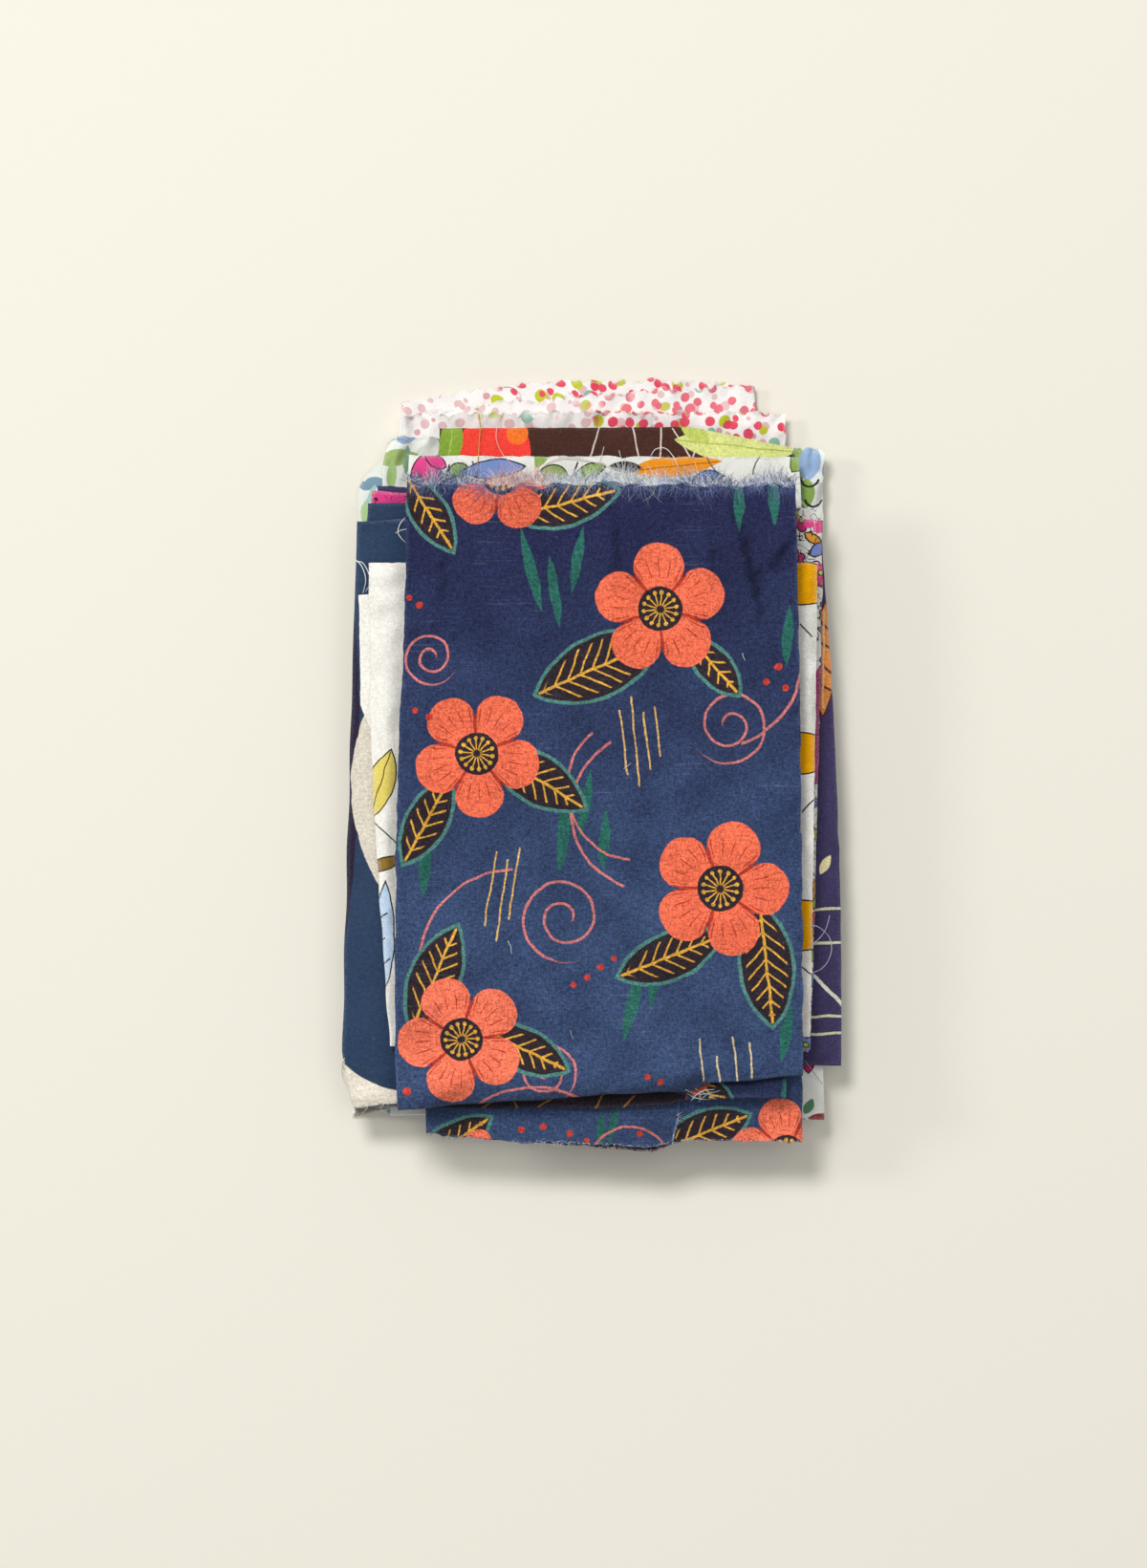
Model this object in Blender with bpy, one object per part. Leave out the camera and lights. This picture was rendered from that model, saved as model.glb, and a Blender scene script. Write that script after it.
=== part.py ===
"""A pile of ten folded cotton prints, as a remnant bundle lies on a table.

Millimetres in the tables, metres in the model. X runs to the right, Y to the back, Z up.
Each cloth is one sheet folded back and forth. A row of LINES is one fold or cut end of it,
from the uppermost layer's free end down to the lowest layer's free end, so a cloth with four
rows has three layers. The pile rests on the flat underside of the lowest cloth.
"""

import math

import bpy
import numpy as np

MM = 0.001
CLOTH = 1.0  # thickness of one layer of the solids
GAP = 0.3  # air between two layers of a fold
PITCH = CLOTH + GAP
BETWEEN = 0.55  # air between one cloth and the next
FOLD_STEPS = 4  # facets round one fold
MARGIN = 2.0  # a grid line this near a cloth's furthest edge is left out
CROWD = 0.5  # how close grid lines may lie where they meet an edge
BOW_AT = (0.2, 0.4, 0.6, 0.8)  # where along a layer its bowed sides get a corner

# From the table up. run is the way the cloth travels: "y" has its folds at front and back,
# "x" has them at left and right.
CLOTHS = [
    # name, run, colour, roughness
    ("dotted_print", "x", (0.86, 0.83, 0.78), 0.90),
    ("mint_leaf_print", "x", (0.74, 0.78, 0.70), 0.90),
    ("brown_red_print", "y", (0.045, 0.022, 0.018), 0.88),
    ("white_patch_print", "y", (0.82, 0.82, 0.78), 0.90),
    ("purple_line_print", "y", (0.030, 0.022, 0.080), 0.88),
    ("white_flower_print", "x", (0.82, 0.82, 0.80), 0.90),
    ("blue_cream_print", "x", (0.022, 0.060, 0.130), 0.88),
    ("white_leaf_print", "x", (0.80, 0.79, 0.74), 0.90),
    ("navy_print_under", "y", (0.030, 0.050, 0.130), 0.88),
    ("navy_print_top", "y", (0.030, 0.050, 0.130), 0.88),
]

# kind: "cut" is a free end, "fold" a fold. points: along the line, left to right for a "y"
# cloth and front to back for an "x" cloth, as (x, y). low_bow and high_bow: how far the
# edge of the layer below this line stands out sideways at its middle, on the left or front
# and on the right or back.
LINES = {
    "dotted_print": [
        ("cut", [(82.0, -140.0), (81.4, 147.0)], 0.0, 1.0),
        ("fold", [(-84.0, -141.0), (-82.0, 60.0), (-80.5, 146.0)], 0.0, 2.0),
        ("fold", [(80.0, -138.0), (74.0, 100.0), (68.4, 158.6)], 0.0, 5.5),
        ("fold", [(-82.5, -139.0), (-77.4, 151.5)], 0.0, 4.0),
        ("cut", [(79.0, -141.0), (69.0, 156.0)], 0.0, 0.0),
    ],
    "mint_leaf_print": [
        ("cut", [(95.0, -143.0), (97.2, 132.0)], 0.0, 1.5),
        ("fold", [(-97.0, -144.5), (-88.0, 100.0), (-87.4, 138.0)], 0.0, 0.0),
        ("fold", [(94.0, -141.5), (96.0, 128.5)], 0.0, 0.5),
        ("cut", [(-100.0, -146.0), (-97.5, 125.5)], 0.0, 0.0),
    ],
    "brown_red_print": [
        ("cut", [(-63.4, 140.8), (42.0, 141.4), (84.0, 132.6)], 0.0, 0.0),
        ("fold", [(-70.0, -138.0), (85.0, -139.0)], 0.0, 0.0),
        ("fold", [(-62.5, 138.6), (42.0, 139.0), (82.6, 130.0)], 0.0, 0.0),
        ("cut", [(-68.0, -135.0), (83.0, -136.0)], 0.0, 0.0),
    ],
    "white_patch_print": [
        ("cut", [(-76.2, 129.4), (86.8, 128.6)], 0.0, 1.5),
        ("fold", [(-84.0, -147.0), (97.4, -147.6)], 0.0, 1.0),
        ("fold", [(-75.0, 126.6), (85.4, 126.0)], 0.0, 1.0),
        ("cut", [(-81.0, -144.4), (95.6, -145.4)], 0.0, 0.0),
    ],
    "purple_line_print": [
        ("cut", [(-89.4, 116.8), (60.0, 107.0), (95.6, 103.2)], 0.0, 1.2),
        ("fold", [(-88.0, -125.0), (104.6, -126.2)], 0.0, 1.0),
        ("fold", [(-88.2, 113.4), (94.4, 101.0)], 0.0, 0.8),
        ("cut", [(-86.4, -121.0), (103.2, -122.6)], 0.0, 0.0),
    ],
    "white_flower_print": [
        ("cut", [(-91.6, -118.0), (-92.2, 114.4)], 0.0, 0.0),
        ("fold", [(92.6, -119.6), (98.2, 20.0), (97.2, 102.2)], 0.0, 0.0),
        ("fold", [(-90.4, -117.0), (-91.0, 112.2)], 0.0, 0.0),
        ("cut", [(91.2, -120.4), (97.6, 20.0), (96.2, 107.4)], 0.0, 0.0),
    ],
    "blue_cream_print": [
        ("cut", [(84.0, -145.0), (84.0, 101.0)], 0.0, 0.0),
        ("fold", [(-101.0, -146.0), (-104.4, -118.0), (-98.6, 101.8)], 0.0, 0.0),
        ("fold", [(85.4, -143.0), (85.8, 108.0)], 0.0, 0.0),
        ("cut", [(-97.6, -147.6), (-101.0, -100.0), (-93.6, 109.4)], 0.0, 0.0),
    ],
    "white_leaf_print": [
        ("cut", [(91.6, -114.0), (94.8, 84.4)], 0.0, 0.0),
        ("fold", [(-84.4, -118.0), (-92.0, -10.0), (-93.6, 84.2)], 0.0, 0.0),
        ("fold", [(90.6, -112.4), (93.6, 82.2)], 0.0, 0.0),
        ("cut", [(-80.0, -114.0), (-89.0, 8.0), (-96.6, 24.0), (-97.4, 71.0)], 0.0, 0.0),
    ],
    "navy_print_under": [
        ("cut", [(-60.0, -153.4), (88.6, -158.6)], 0.0, 0.0),
        ("fold", [(-72.0, 105.4), (84.8, 104.8)], 0.0, 0.0),
        ("fold", [(-66.0, -147.6), (84.6, -149.0)], 0.0, 0.0),
        ("cut", [(-70.0, 101.0), (83.0, 101.6)], 0.0, 0.0),
    ],
    "navy_print_top": [
        ("cut", [(-76.6, 118.0), (85.4, 117.0)], 3.0, 0.8),
        ("fold", [(-78.4, -145.4), (-20.0, -140.6), (88.0, -129.0)], 2.0, 0.0),
        ("fold", [(-75.6, 114.4), (84.4, 113.6)], 1.0, 0.0),
        ("fold", [(-76.4, -139.4), (81.4, -142.2)], 1.0, 0.0),
        ("fold", [(-73.4, 110.6), (82.8, 110.2)], 0.0, 0.0),
        ("cut", [(-71.4, -155.2), (28.4, -160.2)], 0.0, 0.0),
    ],
}

# Grid lines that every cloth shares wherever it reaches them, so that neighbours bend alike.
X_GRID = [-97.5, -91.0, -84.5, 84.5, 91.0, 97.5]
Y_GRID = [-151.0, -142.0, -133.0, -124.0, 84.0, 93.0, 102.0, 111.0]

# Where the pile gives way. A cloth that stops short of its neighbours leaves a hollow at that
# side, and everything above sinks into it, from nothing at start to drop at end.
SAGS = [
    # side, lowest and highest cloth that stop short, start, end, drop
    ("left", "dotted_print", "dotted_print", -84.5, -106.0, 3.0),
    ("left", "brown_red_print", "white_patch_print", -84.5, -108.0, 4.6),
    ("right", "dotted_print", "dotted_print", 84.5, 106.0, 2.6),
    ("right", "brown_red_print", "brown_red_print", 84.5, 106.0, 2.0),
    ("right", "blue_cream_print", "blue_cream_print", 84.5, 108.0, 2.0),
    ("front", "purple_line_print", "white_flower_print", -124.0, -166.0, 5.6),
    ("front", "white_leaf_print", "white_leaf_print", -124.0, -164.0, 3.0),
    ("back", "white_leaf_print", "white_leaf_print", 84.0, 114.0, 3.2),
    ("back", "navy_print_under", "navy_print_under", 102.0, 126.0, 2.6),
]


def levels():
    """The underside of each cloth and the top of its uppermost layer, before the pile sinks."""
    found, z = {}, 0.0
    for name, *_ in CLOTHS:
        layers = len(LINES[name]) - 1
        found[name] = (z, z + (layers - 1) * PITCH + CLOTH)
        z = found[name][1] + BETWEEN
    return found


LEVELS = levels()


def smooth(value, start, end):
    t = np.clip((value - start) / (end - start), 0.0, 1.0)
    return t * t * (3.0 - 2.0 * t)


def settle(points):
    """The points of the flat pile moved down to where they lie once the pile has sunk."""
    x, y, z = points[..., 0], points[..., 1], points[..., 2]
    down = np.zeros_like(z)
    for side, lowest, highest, start, end, drop in SAGS:
        low, high = LEVELS[lowest][0] - BETWEEN / 2, LEVELS[highest][1] + BETWEEN / 2
        share = np.clip((z - low) / (high - low), 0.0, 1.0)
        down += drop * share * smooth(x if side in ("left", "right") else y, start, end)
    return np.stack([x, y, z - down], axis=-1)


def kept_inside(grid, low, high):
    """Grid lines between two edges, those past an edge crowded up against it in order."""
    count = len(grid)
    held = [np.minimum(np.maximum(g, low + CROWD * (k + 1)), high - CROWD * (count - k)) for k, g in enumerate(grid)]
    return np.array([low, *held, high])


def rows_of(name, run):
    """The middle of the sheet as rows of points in (along, across, height), with normals."""
    lines = []
    for kind, points, low_bow, high_bow in LINES[name]:
        p = np.array(points, float)
        lines.append((kind, p if run == "x" else p[:, ::-1], low_bow, high_bow))
    along_grid, across_grid = (X_GRID, Y_GRID) if run == "x" else (Y_GRID, X_GRID)
    every = np.concatenate([p for _, p, _, _ in lines])
    bends = [q for _, p, _, _ in lines for q in p[1:-1, 1]]
    across_grid = sorted({*across_grid, *bends})
    across_grid = [g for g in across_grid if every[:, 1].min() + MARGIN < g < every[:, 1].max() - MARGIN]
    reach = PITCH / 2 + CLOTH / 2
    rows, normals = [], []

    def row(along, across, height, normal):
        rows.append(np.stack([along, across, np.full_like(across, height)], axis=1))
        normals.append(np.tile([normal[0], 0.0, normal[1]], (len(across), 1)))

    z = LEVELS[name][1] - CLOTH / 2
    for k in range(len(lines) - 1):
        (kind_a, a, low_bow, high_bow), (kind_b, b, _, _) = lines[k], lines[k + 1]
        way = 1.0 if b[:, 0].mean() > a[:, 0].mean() else -1.0
        up = 1.0 if k % 2 == 0 else -1.0
        across_a, across_b = (kept_inside(across_grid, p[0, 1], p[-1, 1]) for p in (a, b))
        start = np.interp(across_a, a[:, 1], a[:, 0]) + way * (reach if kind_a == "fold" else 0.0)
        end = np.interp(across_b, b[:, 1], b[:, 0]) - way * (reach if kind_b == "fold" else 0.0)
        row(start, across_a, z, (0.0, up))
        low_end, high_end = min(start.min(), end.min()), max(start.max(), end.max())
        bowed = [low_end + q * (high_end - low_end) for q in BOW_AT] if low_bow or high_bow else []
        stations = sorted(g for g in [*along_grid, *bowed] if low_end + MARGIN < g < high_end - MARGIN)[:: int(way)]
        for n, g in enumerate(stations):
            from_start, from_end = CROWD * (n + 1), CROWD * (len(stations) - n)
            travel = np.clip((g - start) * way, from_start, (end - start) * way - from_end)
            t = travel / ((end - start) * way)
            edge = [across_a[c] + t[c] * (across_b[c] - across_a[c]) for c in (0, -1)]
            edge[0] -= 4 * low_bow * t[0] * (1 - t[0])
            edge[1] += 4 * high_bow * t[-1] * (1 - t[-1])
            row(start + travel * way, kept_inside(across_grid, *edge), z, (0.0, up))
        row(end, across_b, z, (0.0, up))
        if kind_b == "fold":
            for step in range(1, FOLD_STEPS):
                angle = math.pi * step / FOLD_STEPS
                out, rise = math.sin(angle) * way, math.cos(angle)
                row(end + out * PITCH / 2, across_b, z - PITCH / 2 + rise * PITCH / 2, (out * up, rise * up))
        z -= PITCH
    return np.array(rows), np.array(normals)


def cloth(name, run, colour, roughness):
    rows, normals = rows_of(name, run)
    faces_up = rows + normals * CLOTH / 2
    faces_down = rows - normals * CLOTH / 2
    both = np.concatenate([faces_up, faces_down])
    if run == "y":
        both = both[..., [1, 0, 2]]
    both = settle(both) * MM
    count, width = rows.shape[:2]

    def at(side, i, j):
        return (side * count + i) * width + j

    faces = []
    for i in range(count - 1):
        for j in range(width - 1):
            faces.append((at(0, i, j), at(0, i, j + 1), at(0, i + 1, j + 1), at(0, i + 1, j)))
            faces.append((at(1, i, j), at(1, i + 1, j), at(1, i + 1, j + 1), at(1, i, j + 1)))
        for j in (0, width - 1):
            faces.append((at(0, i, j), at(0, i + 1, j), at(1, i + 1, j), at(1, i, j)))
    for i in (0, count - 1):
        for j in range(width - 1):
            faces.append((at(0, i, j), at(1, i, j), at(1, i, j + 1), at(0, i, j + 1)))
    mesh = bpy.data.meshes.new(name)
    mesh.from_pydata(both.reshape(-1, 3).tolist(), [], faces)
    outward(mesh)
    material = bpy.data.materials.new(name)
    material.use_nodes = True
    shader = material.node_tree.nodes["Principled BSDF"]
    shader.inputs["Base Color"].default_value = (*colour, 1.0)
    shader.inputs["Roughness"].default_value = roughness
    shader.inputs["Metallic"].default_value = 0.0
    mesh.materials.append(material)
    mesh.shade_smooth()
    mesh.set_sharp_from_angle(angle=math.radians(40))
    obj = bpy.data.objects.new(name, mesh)
    bpy.context.scene.collection.objects.link(obj)
    return obj


def outward(mesh):
    import bmesh

    work = bmesh.new()
    work.from_mesh(mesh)
    bmesh.ops.recalc_face_normals(work, faces=work.faces)
    work.to_mesh(mesh)
    work.free()


def centre(objects):
    """Moves the pile so that the middle of its footprint is the origin."""
    points = np.concatenate([[v.co[:] for v in o.data.vertices] for o in objects])
    middle = (points.min(0) + points.max(0)) / 2
    for o in objects:
        o.location = (-middle[0], -middle[1], 0.0)
    return middle


for old in list(bpy.data.objects):
    bpy.data.objects.remove(old, do_unlink=True)
built = [cloth(*row) for row in CLOTHS]
centre(built)
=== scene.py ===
"""The looks of a pile of ten folded cotton prints: thin creased sheets, frayed raw edges, loose threads and printed cloth.

Lengths are in millimetres in the tables and in metres in the scene. X runs to the right, Y to the back, Z up.
"""

import math

import bpy
import numpy as np
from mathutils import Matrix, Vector
from mathutils.bvhtree import BVHTree


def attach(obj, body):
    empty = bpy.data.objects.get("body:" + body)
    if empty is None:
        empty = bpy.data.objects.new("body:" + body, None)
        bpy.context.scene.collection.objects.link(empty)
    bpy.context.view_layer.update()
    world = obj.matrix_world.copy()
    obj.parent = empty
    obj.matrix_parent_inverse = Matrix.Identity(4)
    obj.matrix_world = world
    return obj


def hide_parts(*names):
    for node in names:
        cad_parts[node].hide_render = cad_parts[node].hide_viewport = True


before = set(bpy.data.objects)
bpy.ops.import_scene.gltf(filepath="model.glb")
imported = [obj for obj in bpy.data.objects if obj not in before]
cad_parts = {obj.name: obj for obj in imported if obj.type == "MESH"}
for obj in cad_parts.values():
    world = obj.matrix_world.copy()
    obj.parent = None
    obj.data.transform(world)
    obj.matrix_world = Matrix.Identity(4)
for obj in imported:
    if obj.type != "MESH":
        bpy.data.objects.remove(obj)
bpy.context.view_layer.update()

MM = 0.001
PILE_MIDDLE = (0.10, 0.453)  # where the tables' own middle lies from the frame's origin
CLOTH = 1.0  # thickness of one layer of the frame's solids
GAP = 0.3
PITCH = CLOTH + GAP
BETWEEN = 0.55
HALF = 0.21  # half the thickness of the sheets made here
FOLD_STEPS = 9
POINT = 0.4  # millimetres for each point of the picture

REPEAT = 335.0  # how far the top cloth's print goes before it comes again


def at(px, py):
    """A place in the pile from a place in the picture, both seen straight from above."""
    return (px - 618.5) * POINT, (800.0 - py) * POINT


# From the table up. run: "y" has its folds at front and back, "x" at left and right.
# rows and columns: mesh rows along each layer and columns across it. lift: how far the part
# that nothing covers stands up. ragged: how uneven the raw edges are. scallop: how deep the
# waves cut along the back edge are.
CLOTHS = [
    # name, run, rows, columns, lift, ragged, scallop
    ("dotted_print", "x", 124, 58, 3.2, 1.5, 2.2),
    ("mint_leaf_print", "x", 96, 64, 4.2, 2.0, 0.0),
    ("brown_red_print", "y", 40, 56, 1.6, 0.2, 0.0),
    ("white_patch_print", "y", 44, 66, 1.8, 0.5, 0.0),
    ("purple_line_print", "y", 44, 66, 1.6, 0.3, 0.0),
    ("white_flower_print", "x", 50, 80, 2.0, 0.6, 0.0),
    ("blue_cream_print", "x", 50, 80, 2.0, 0.6, 0.0),
    ("white_leaf_print", "x", 60, 90, 2.8, 0.7, 0.0),
    ("navy_print_under", "y", 44, 72, 1.2, 0.5, 0.0),
    ("navy_print_top", "y", 26, 144, 1.3, 0.6, 0.0),
]
TOP_ROWS = 170  # mesh rows along the uppermost layer of the top cloth

# kind, points (x, y) along the line, and how far the side edge of the layer below this line
# bows out on the left or front, and on the right or back.
LINES = {
    "dotted_print": [
        ("cut", [(82.0, -140.0), (81.4, 147.0)], 0.0, 1.0),
        ("fold", [(-84.0, -141.0), (-82.0, 60.0), (-80.5, 146.0)], 0.0, 2.0),
        ("fold", [(80.0, -138.0), (74.0, 100.0), (68.4, 158.6)], 0.0, 5.5),
        ("fold", [(-82.5, -139.0), (-79.6, 100.0), (-79.2, 152.0)], 0.0, 4.0),
        ("cut", [(79.0, -141.0), (69.0, 156.0)], 0.0, 0.0),
    ],
    "mint_leaf_print": [
        ("cut", [(95.0, -143.0), (97.2, 132.0)], 0.0, 1.5),
        ("fold", [(-97.0, -144.5), (-88.4, 96.0), (-87.4, 124.0), (-86.2, 131.6), (-83.0, 137.0)], 0.0, 0.0),
        ("fold", [(94.0, -141.5), (96.0, 128.5)], 0.0, 0.5),
        ("cut", [(-100.0, -146.0), (-98.0, 102.0), (-97.0, 117.5), (-93.0, 124.0), (-87.4, 127.6)], 0.0, 0.0),
    ],
    "brown_red_print": [
        ("cut", [(-63.4, 140.8), (42.0, 141.4), (84.0, 132.6)], 0.0, 0.0),
        ("fold", [(-70.0, -138.0), (85.0, -139.0)], 0.0, 0.0),
        ("fold", [(-62.5, 138.6), (42.0, 139.0), (82.6, 130.0)], 0.0, 0.0),
        ("cut", [(-68.0, -135.0), (83.0, -136.0)], 0.0, 0.0),
    ],
    "white_patch_print": [
        ("cut", [(-76.2, 129.4), (86.8, 128.6)], 0.0, 1.5),
        ("fold", [(-84.0, -147.0), (97.4, -149.0)], 0.0, 1.0),
        ("fold", [(-75.0, 126.6), (85.4, 126.0)], 0.0, 1.0),
        ("cut", [(-81.0, -144.4), (95.6, -145.4)], 0.0, 0.0),
    ],
    "purple_line_print": [
        ("cut", [(-89.4, 116.8), (60.0, 107.0), (95.6, 103.2)], 0.0, 2.8),
        ("fold", [(-88.0, -125.0), (104.6, -126.2)], 0.0, 1.0),
        ("fold", [(-88.2, 113.4), (94.4, 101.0)], 0.0, 0.8),
        ("cut", [(-86.4, -121.0), (103.2, -122.6)], 0.0, 0.0),
    ],
    "white_flower_print": [
        ("cut", [(-91.6, -118.0), (-92.2, 114.4)], 0.0, 0.0),
        ("fold", [(92.0, -119.6), (95.6, 0.0), (97.6, 102.2)], 0.0, 0.0),
        ("fold", [(-90.4, -117.0), (-91.0, 112.2)], 0.0, 0.0),
        ("cut", [(91.0, -120.4), (95.0, 0.0), (96.2, 107.4)], 0.0, 0.0),
    ],
    "blue_cream_print": [
        ("cut", [(84.0, -139.5), (84.0, 101.0)], -5.5, 0.0),
        ("fold", [(-100.4, -144.2), (-103.0, -132.0), (-104.6, -120.0), (-98.6, 101.8)], 0.0, 0.0),
        ("fold", [(85.4, -139.0), (85.8, 108.0)], -11.5, 0.0),
        ("cut", [(-98.8, -148.0), (-101.6, -100.0), (-93.6, 109.4)], 0.0, 0.0),
    ],
    "white_leaf_print": [
        ("cut", [(91.6, -114.0), (94.8, 84.4)], 0.0, 0.0),
        ("fold", [(-84.4, -118.0), (-92.0, -10.0), (-93.6, 84.2)], 0.0, 0.0),
        ("fold", [(90.6, -112.4), (93.6, 82.2)], 0.0, 0.0),
        ("cut", [(-80.0, -114.0), (-89.0, 8.0), (-96.6, 24.0), (-97.4, 71.0)], 0.0, 0.0),
    ],
    "navy_print_under": [
        ("cut", [(-60.0, -153.4), (-28.0, -158.0), (8.6, -161.2), (26.0, -162.4), (40.0, -157.4), (88.6, -158.6)], 0.0, 0.0),
        ("fold", [(-72.0, 105.4), (84.8, 104.8)], 0.0, 0.0),
        ("fold", [(-66.0, -147.6), (84.6, -149.0)], 0.0, 0.0),
        ("cut", [(-70.0, 101.0), (83.0, 101.6)], 0.0, 0.0),
    ],
    "navy_print_top": [
        ("cut", [(-77.2, 118.0), (85.6, 117.0)], 0.0, 0.6),
        ("fold", [(-80.8, -145.4), (-46.0, -142.4), (-20.0, -140.8), (8.6, -138.8), (40.0, -137.2), (48.0, -134.0), (66.0, -132.8), (88.4, -130.6)], 2.0, 0.0),
        ("fold", [(-75.6, 114.4), (84.4, 113.6)], 1.0, 0.0),
        ("fold", [(-76.4, -144.0), (-40.0, -144.8), (8.6, -144.6), (32.0, -143.6), (40.0, -141.0), (81.4, -140.6)], 1.0, 0.0),
        ("fold", [(-73.4, 110.6), (82.8, 110.2)], 0.0, 0.0),
        ("cut", [(-69.2, -155.0), (-49.0, -157.0), (-35.0, -158.6), (8.6, -160.0), (25.0, -161.0), (34.4, -159.2)], 0.0, 0.0),
    ],
}

# Cut ends that are more or less uneven than the cloth's other edges.
CUT_ENDS = {("navy_print_top", 0): 2.4, ("white_leaf_print", 0): 0.4, ("white_leaf_print", 3): 0.25, ("mint_leaf_print", 0): 0.4, ("mint_leaf_print", 3): 0.4}

# How crumpled the uncovered parts are beside the usual.
ROUGHER = {"white_leaf_print": 0.35, "mint_leaf_print": 1.7, "dotted_print": 1.2, "blue_cream_print": 0.5}

# How far the side edge at the low end of its lines stands out, along the way from the upper line to the lower.
SIDE_SHAPES = {("navy_print_top", 0): ([0.0, 0.18, 0.30, 0.40, 0.57, 0.80, 0.93, 1.0], [0.0, 0.0, 0.4, 1.7, 2.2, 1.9, 1.3, 0.0])}

SAGS = [
    # side, lowest and highest cloth that stop short, start, end, drop
    ("left", "dotted_print", "dotted_print", -84.5, -106.0, 3.0),
    ("left", "brown_red_print", "white_patch_print", -84.5, -108.0, 4.6),
    ("right", "dotted_print", "dotted_print", 84.5, 106.0, 2.6),
    ("right", "brown_red_print", "brown_red_print", 84.5, 106.0, 2.0),
    ("right", "blue_cream_print", "blue_cream_print", 84.5, 108.0, 2.0),
    ("front", "purple_line_print", "white_flower_print", -124.0, -166.0, 5.6),
    ("front", "white_leaf_print", "white_leaf_print", -124.0, -164.0, 3.0),
    ("back", "white_leaf_print", "white_leaf_print", 84.0, 114.0, 3.2),
    ("back", "navy_print_under", "navy_print_under", 102.0, 126.0, 2.6),
]

# Creases of each cloth's uppermost layer: soft ridges (height above 0) and troughs.
CREASES = {
    "navy_print_top": [
        # from x, y, to x, y, half width, height
        (*at(788, 642), *at(766, 556), 7.5, 4.00, 0.36),
        (*at(797, 594), *at(824, 564), 6.0, 3.00, 0.42),
        (*at(808, 706), *at(788, 640), 5.0, 0.90, 0.60),
        (*at(742, 604), *at(736, 552), 5.0, 1.60, 0.45),
        (*at(700, 640), *at(694, 566), 6.0, 0.70, 0.60),
        (*at(642, 606), *at(636, 540), 5.0, 2.00, 0.45),
        (*at(668, 596), *at(660, 545), 4.0, 0.60, 0.60),
        (*at(600, 580), *at(604, 530), 5.0, 0.70, 0.60),
        (*at(456, 650), *at(462, 535), 6.0, 1.00, 0.55),
        (*at(490, 600), *at(486, 530), 4.0, 0.60, 0.60),
        (-30.0, 20.0, 20.0, 12.0, 9.0, 0.60),
        (20.0, 34.0, 70.0, 22.0, 7.0, 0.50),
        (76.0, -40.0, 66.0, -10.0, 6.0, 0.60),
        (30.0, -50.0, 78.0, -66.0, 9.0, 0.70),
        (-70.0, -60.0, -20.0, -84.0, 9.0, 0.60),
        (-10.0, -70.0, 50.0, -92.0, 8.0, 0.50),
        (-71.0, -90.0, -69.0, 40.0, 4.0, 0.80, 0.60),
        (-70.0, -126.0, 20.0, -123.0, 6.0, 0.60),
        (20.0, -120.0, 84.0, -112.0, 6.0, 0.60),
        (52.0, -127.0, 60.0, -100.0, 4.0, 0.60),
    ],
    "white_leaf_print": [
        (-94.0, 72.5, -76.0, 73.5, 1.3, -0.60),
        (-94.0, 78.5, -76.0, 79.0, 2.4, 1.10),
        (-94.0, 66.0, -78.0, 66.5, 2.6, 0.80),
        (-84.5, 60.0, -87.0, -96.0, 3.4, 1.30),
        (90.0, 70.0, 92.0, -60.0, 2.4, 0.90),
        (88.0, -60.0, 90.4, -106.0, 2.0, 0.70),
    ],
    "mint_leaf_print": [
        (-92.0, 131.0, -78.0, 134.0, 2.2, 1.40),
        (-90.0, 126.0, -80.0, 124.0, 1.6, -0.60),
        (-94.0, 118.0, -86.0, 104.0, 2.6, 1.30),
        (-84.0, 136.0, -70.0, 131.0, 1.6, 0.90),
        (88.0, 124.0, 96.0, 116.0, 2.2, 1.20),
        (90.0, 108.0, 97.0, 104.0, 1.8, 0.80),
    ],
    "dotted_print": [
        (-80.0, 150.0, -76.0, 134.0, 2.0, 1.40),
        (-66.0, 154.0, -58.0, 142.0, 2.2, 1.20),
        (-40.0, 157.0, -30.0, 146.0, 2.2, 1.10),
        (-6.0, 158.0, 2.0, 147.0, 2.6, 1.00),
        (30.0, 158.0, 24.0, 147.0, 2.2, 1.00),
        (54.0, 157.0, 62.0, 146.0, 2.6, 1.20),
        (70.0, 148.0, 80.0, 138.0, 2.4, 1.20),
    ],
    "blue_cream_print": [
        (-99.0, -60.0, -100.5, -128.0, 2.4, 0.80),
        (-98.0, -128.0, -82.0, -131.0, 2.4, 0.90),
        (-99.0, 92.0, -82.0, 95.0, 2.2, 0.70),
        (-95.0, -139.0, -80.0, -137.0, 1.6, 0.70),
    ],
    "white_flower_print": [
        (92.0, 96.0, 96.0, 78.0, 2.2, 1.10),
        (94.0, 20.0, 92.0, -40.0, 1.8, 0.70),
        (-88.0, 110.0, -78.0, 112.0, 1.8, 0.90),
    ],
}


def levels():
    found, z = {}, 0.0
    for name, *_ in CLOTHS:
        found[name] = (z, z + (len(LINES[name]) - 2) * PITCH + CLOTH)
        z = found[name][1] + BETWEEN
    return found


LEVELS = levels()

# The picture is taken from 2.6 metres, so what lies low looks smaller in it. The tables hold places
# as seen, for things 20 mm up: each cloth's lines are moved to where they look so from above.
BELOW_LENS = at(600.0, 820.5)


def as_seen():
    found = {}
    for name, lines in LINES.items():
        grow = (2600.0 - sum(LEVELS[name]) / 2) / 2580.0
        found[name] = [
            (kind, [tuple(c + (v - c) * grow for v, c in zip(point, BELOW_LENS)) for point in points], *bows)
            for kind, points, *bows in lines
        ]
    return found


LINES = as_seen()
PILE_TOP = LEVELS["navy_print_top"][1]


def smooth(value, start, end):
    t = np.clip((value - start) / (end - start), 0.0, 1.0)
    return t * t * (3.0 - 2.0 * t)


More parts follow.
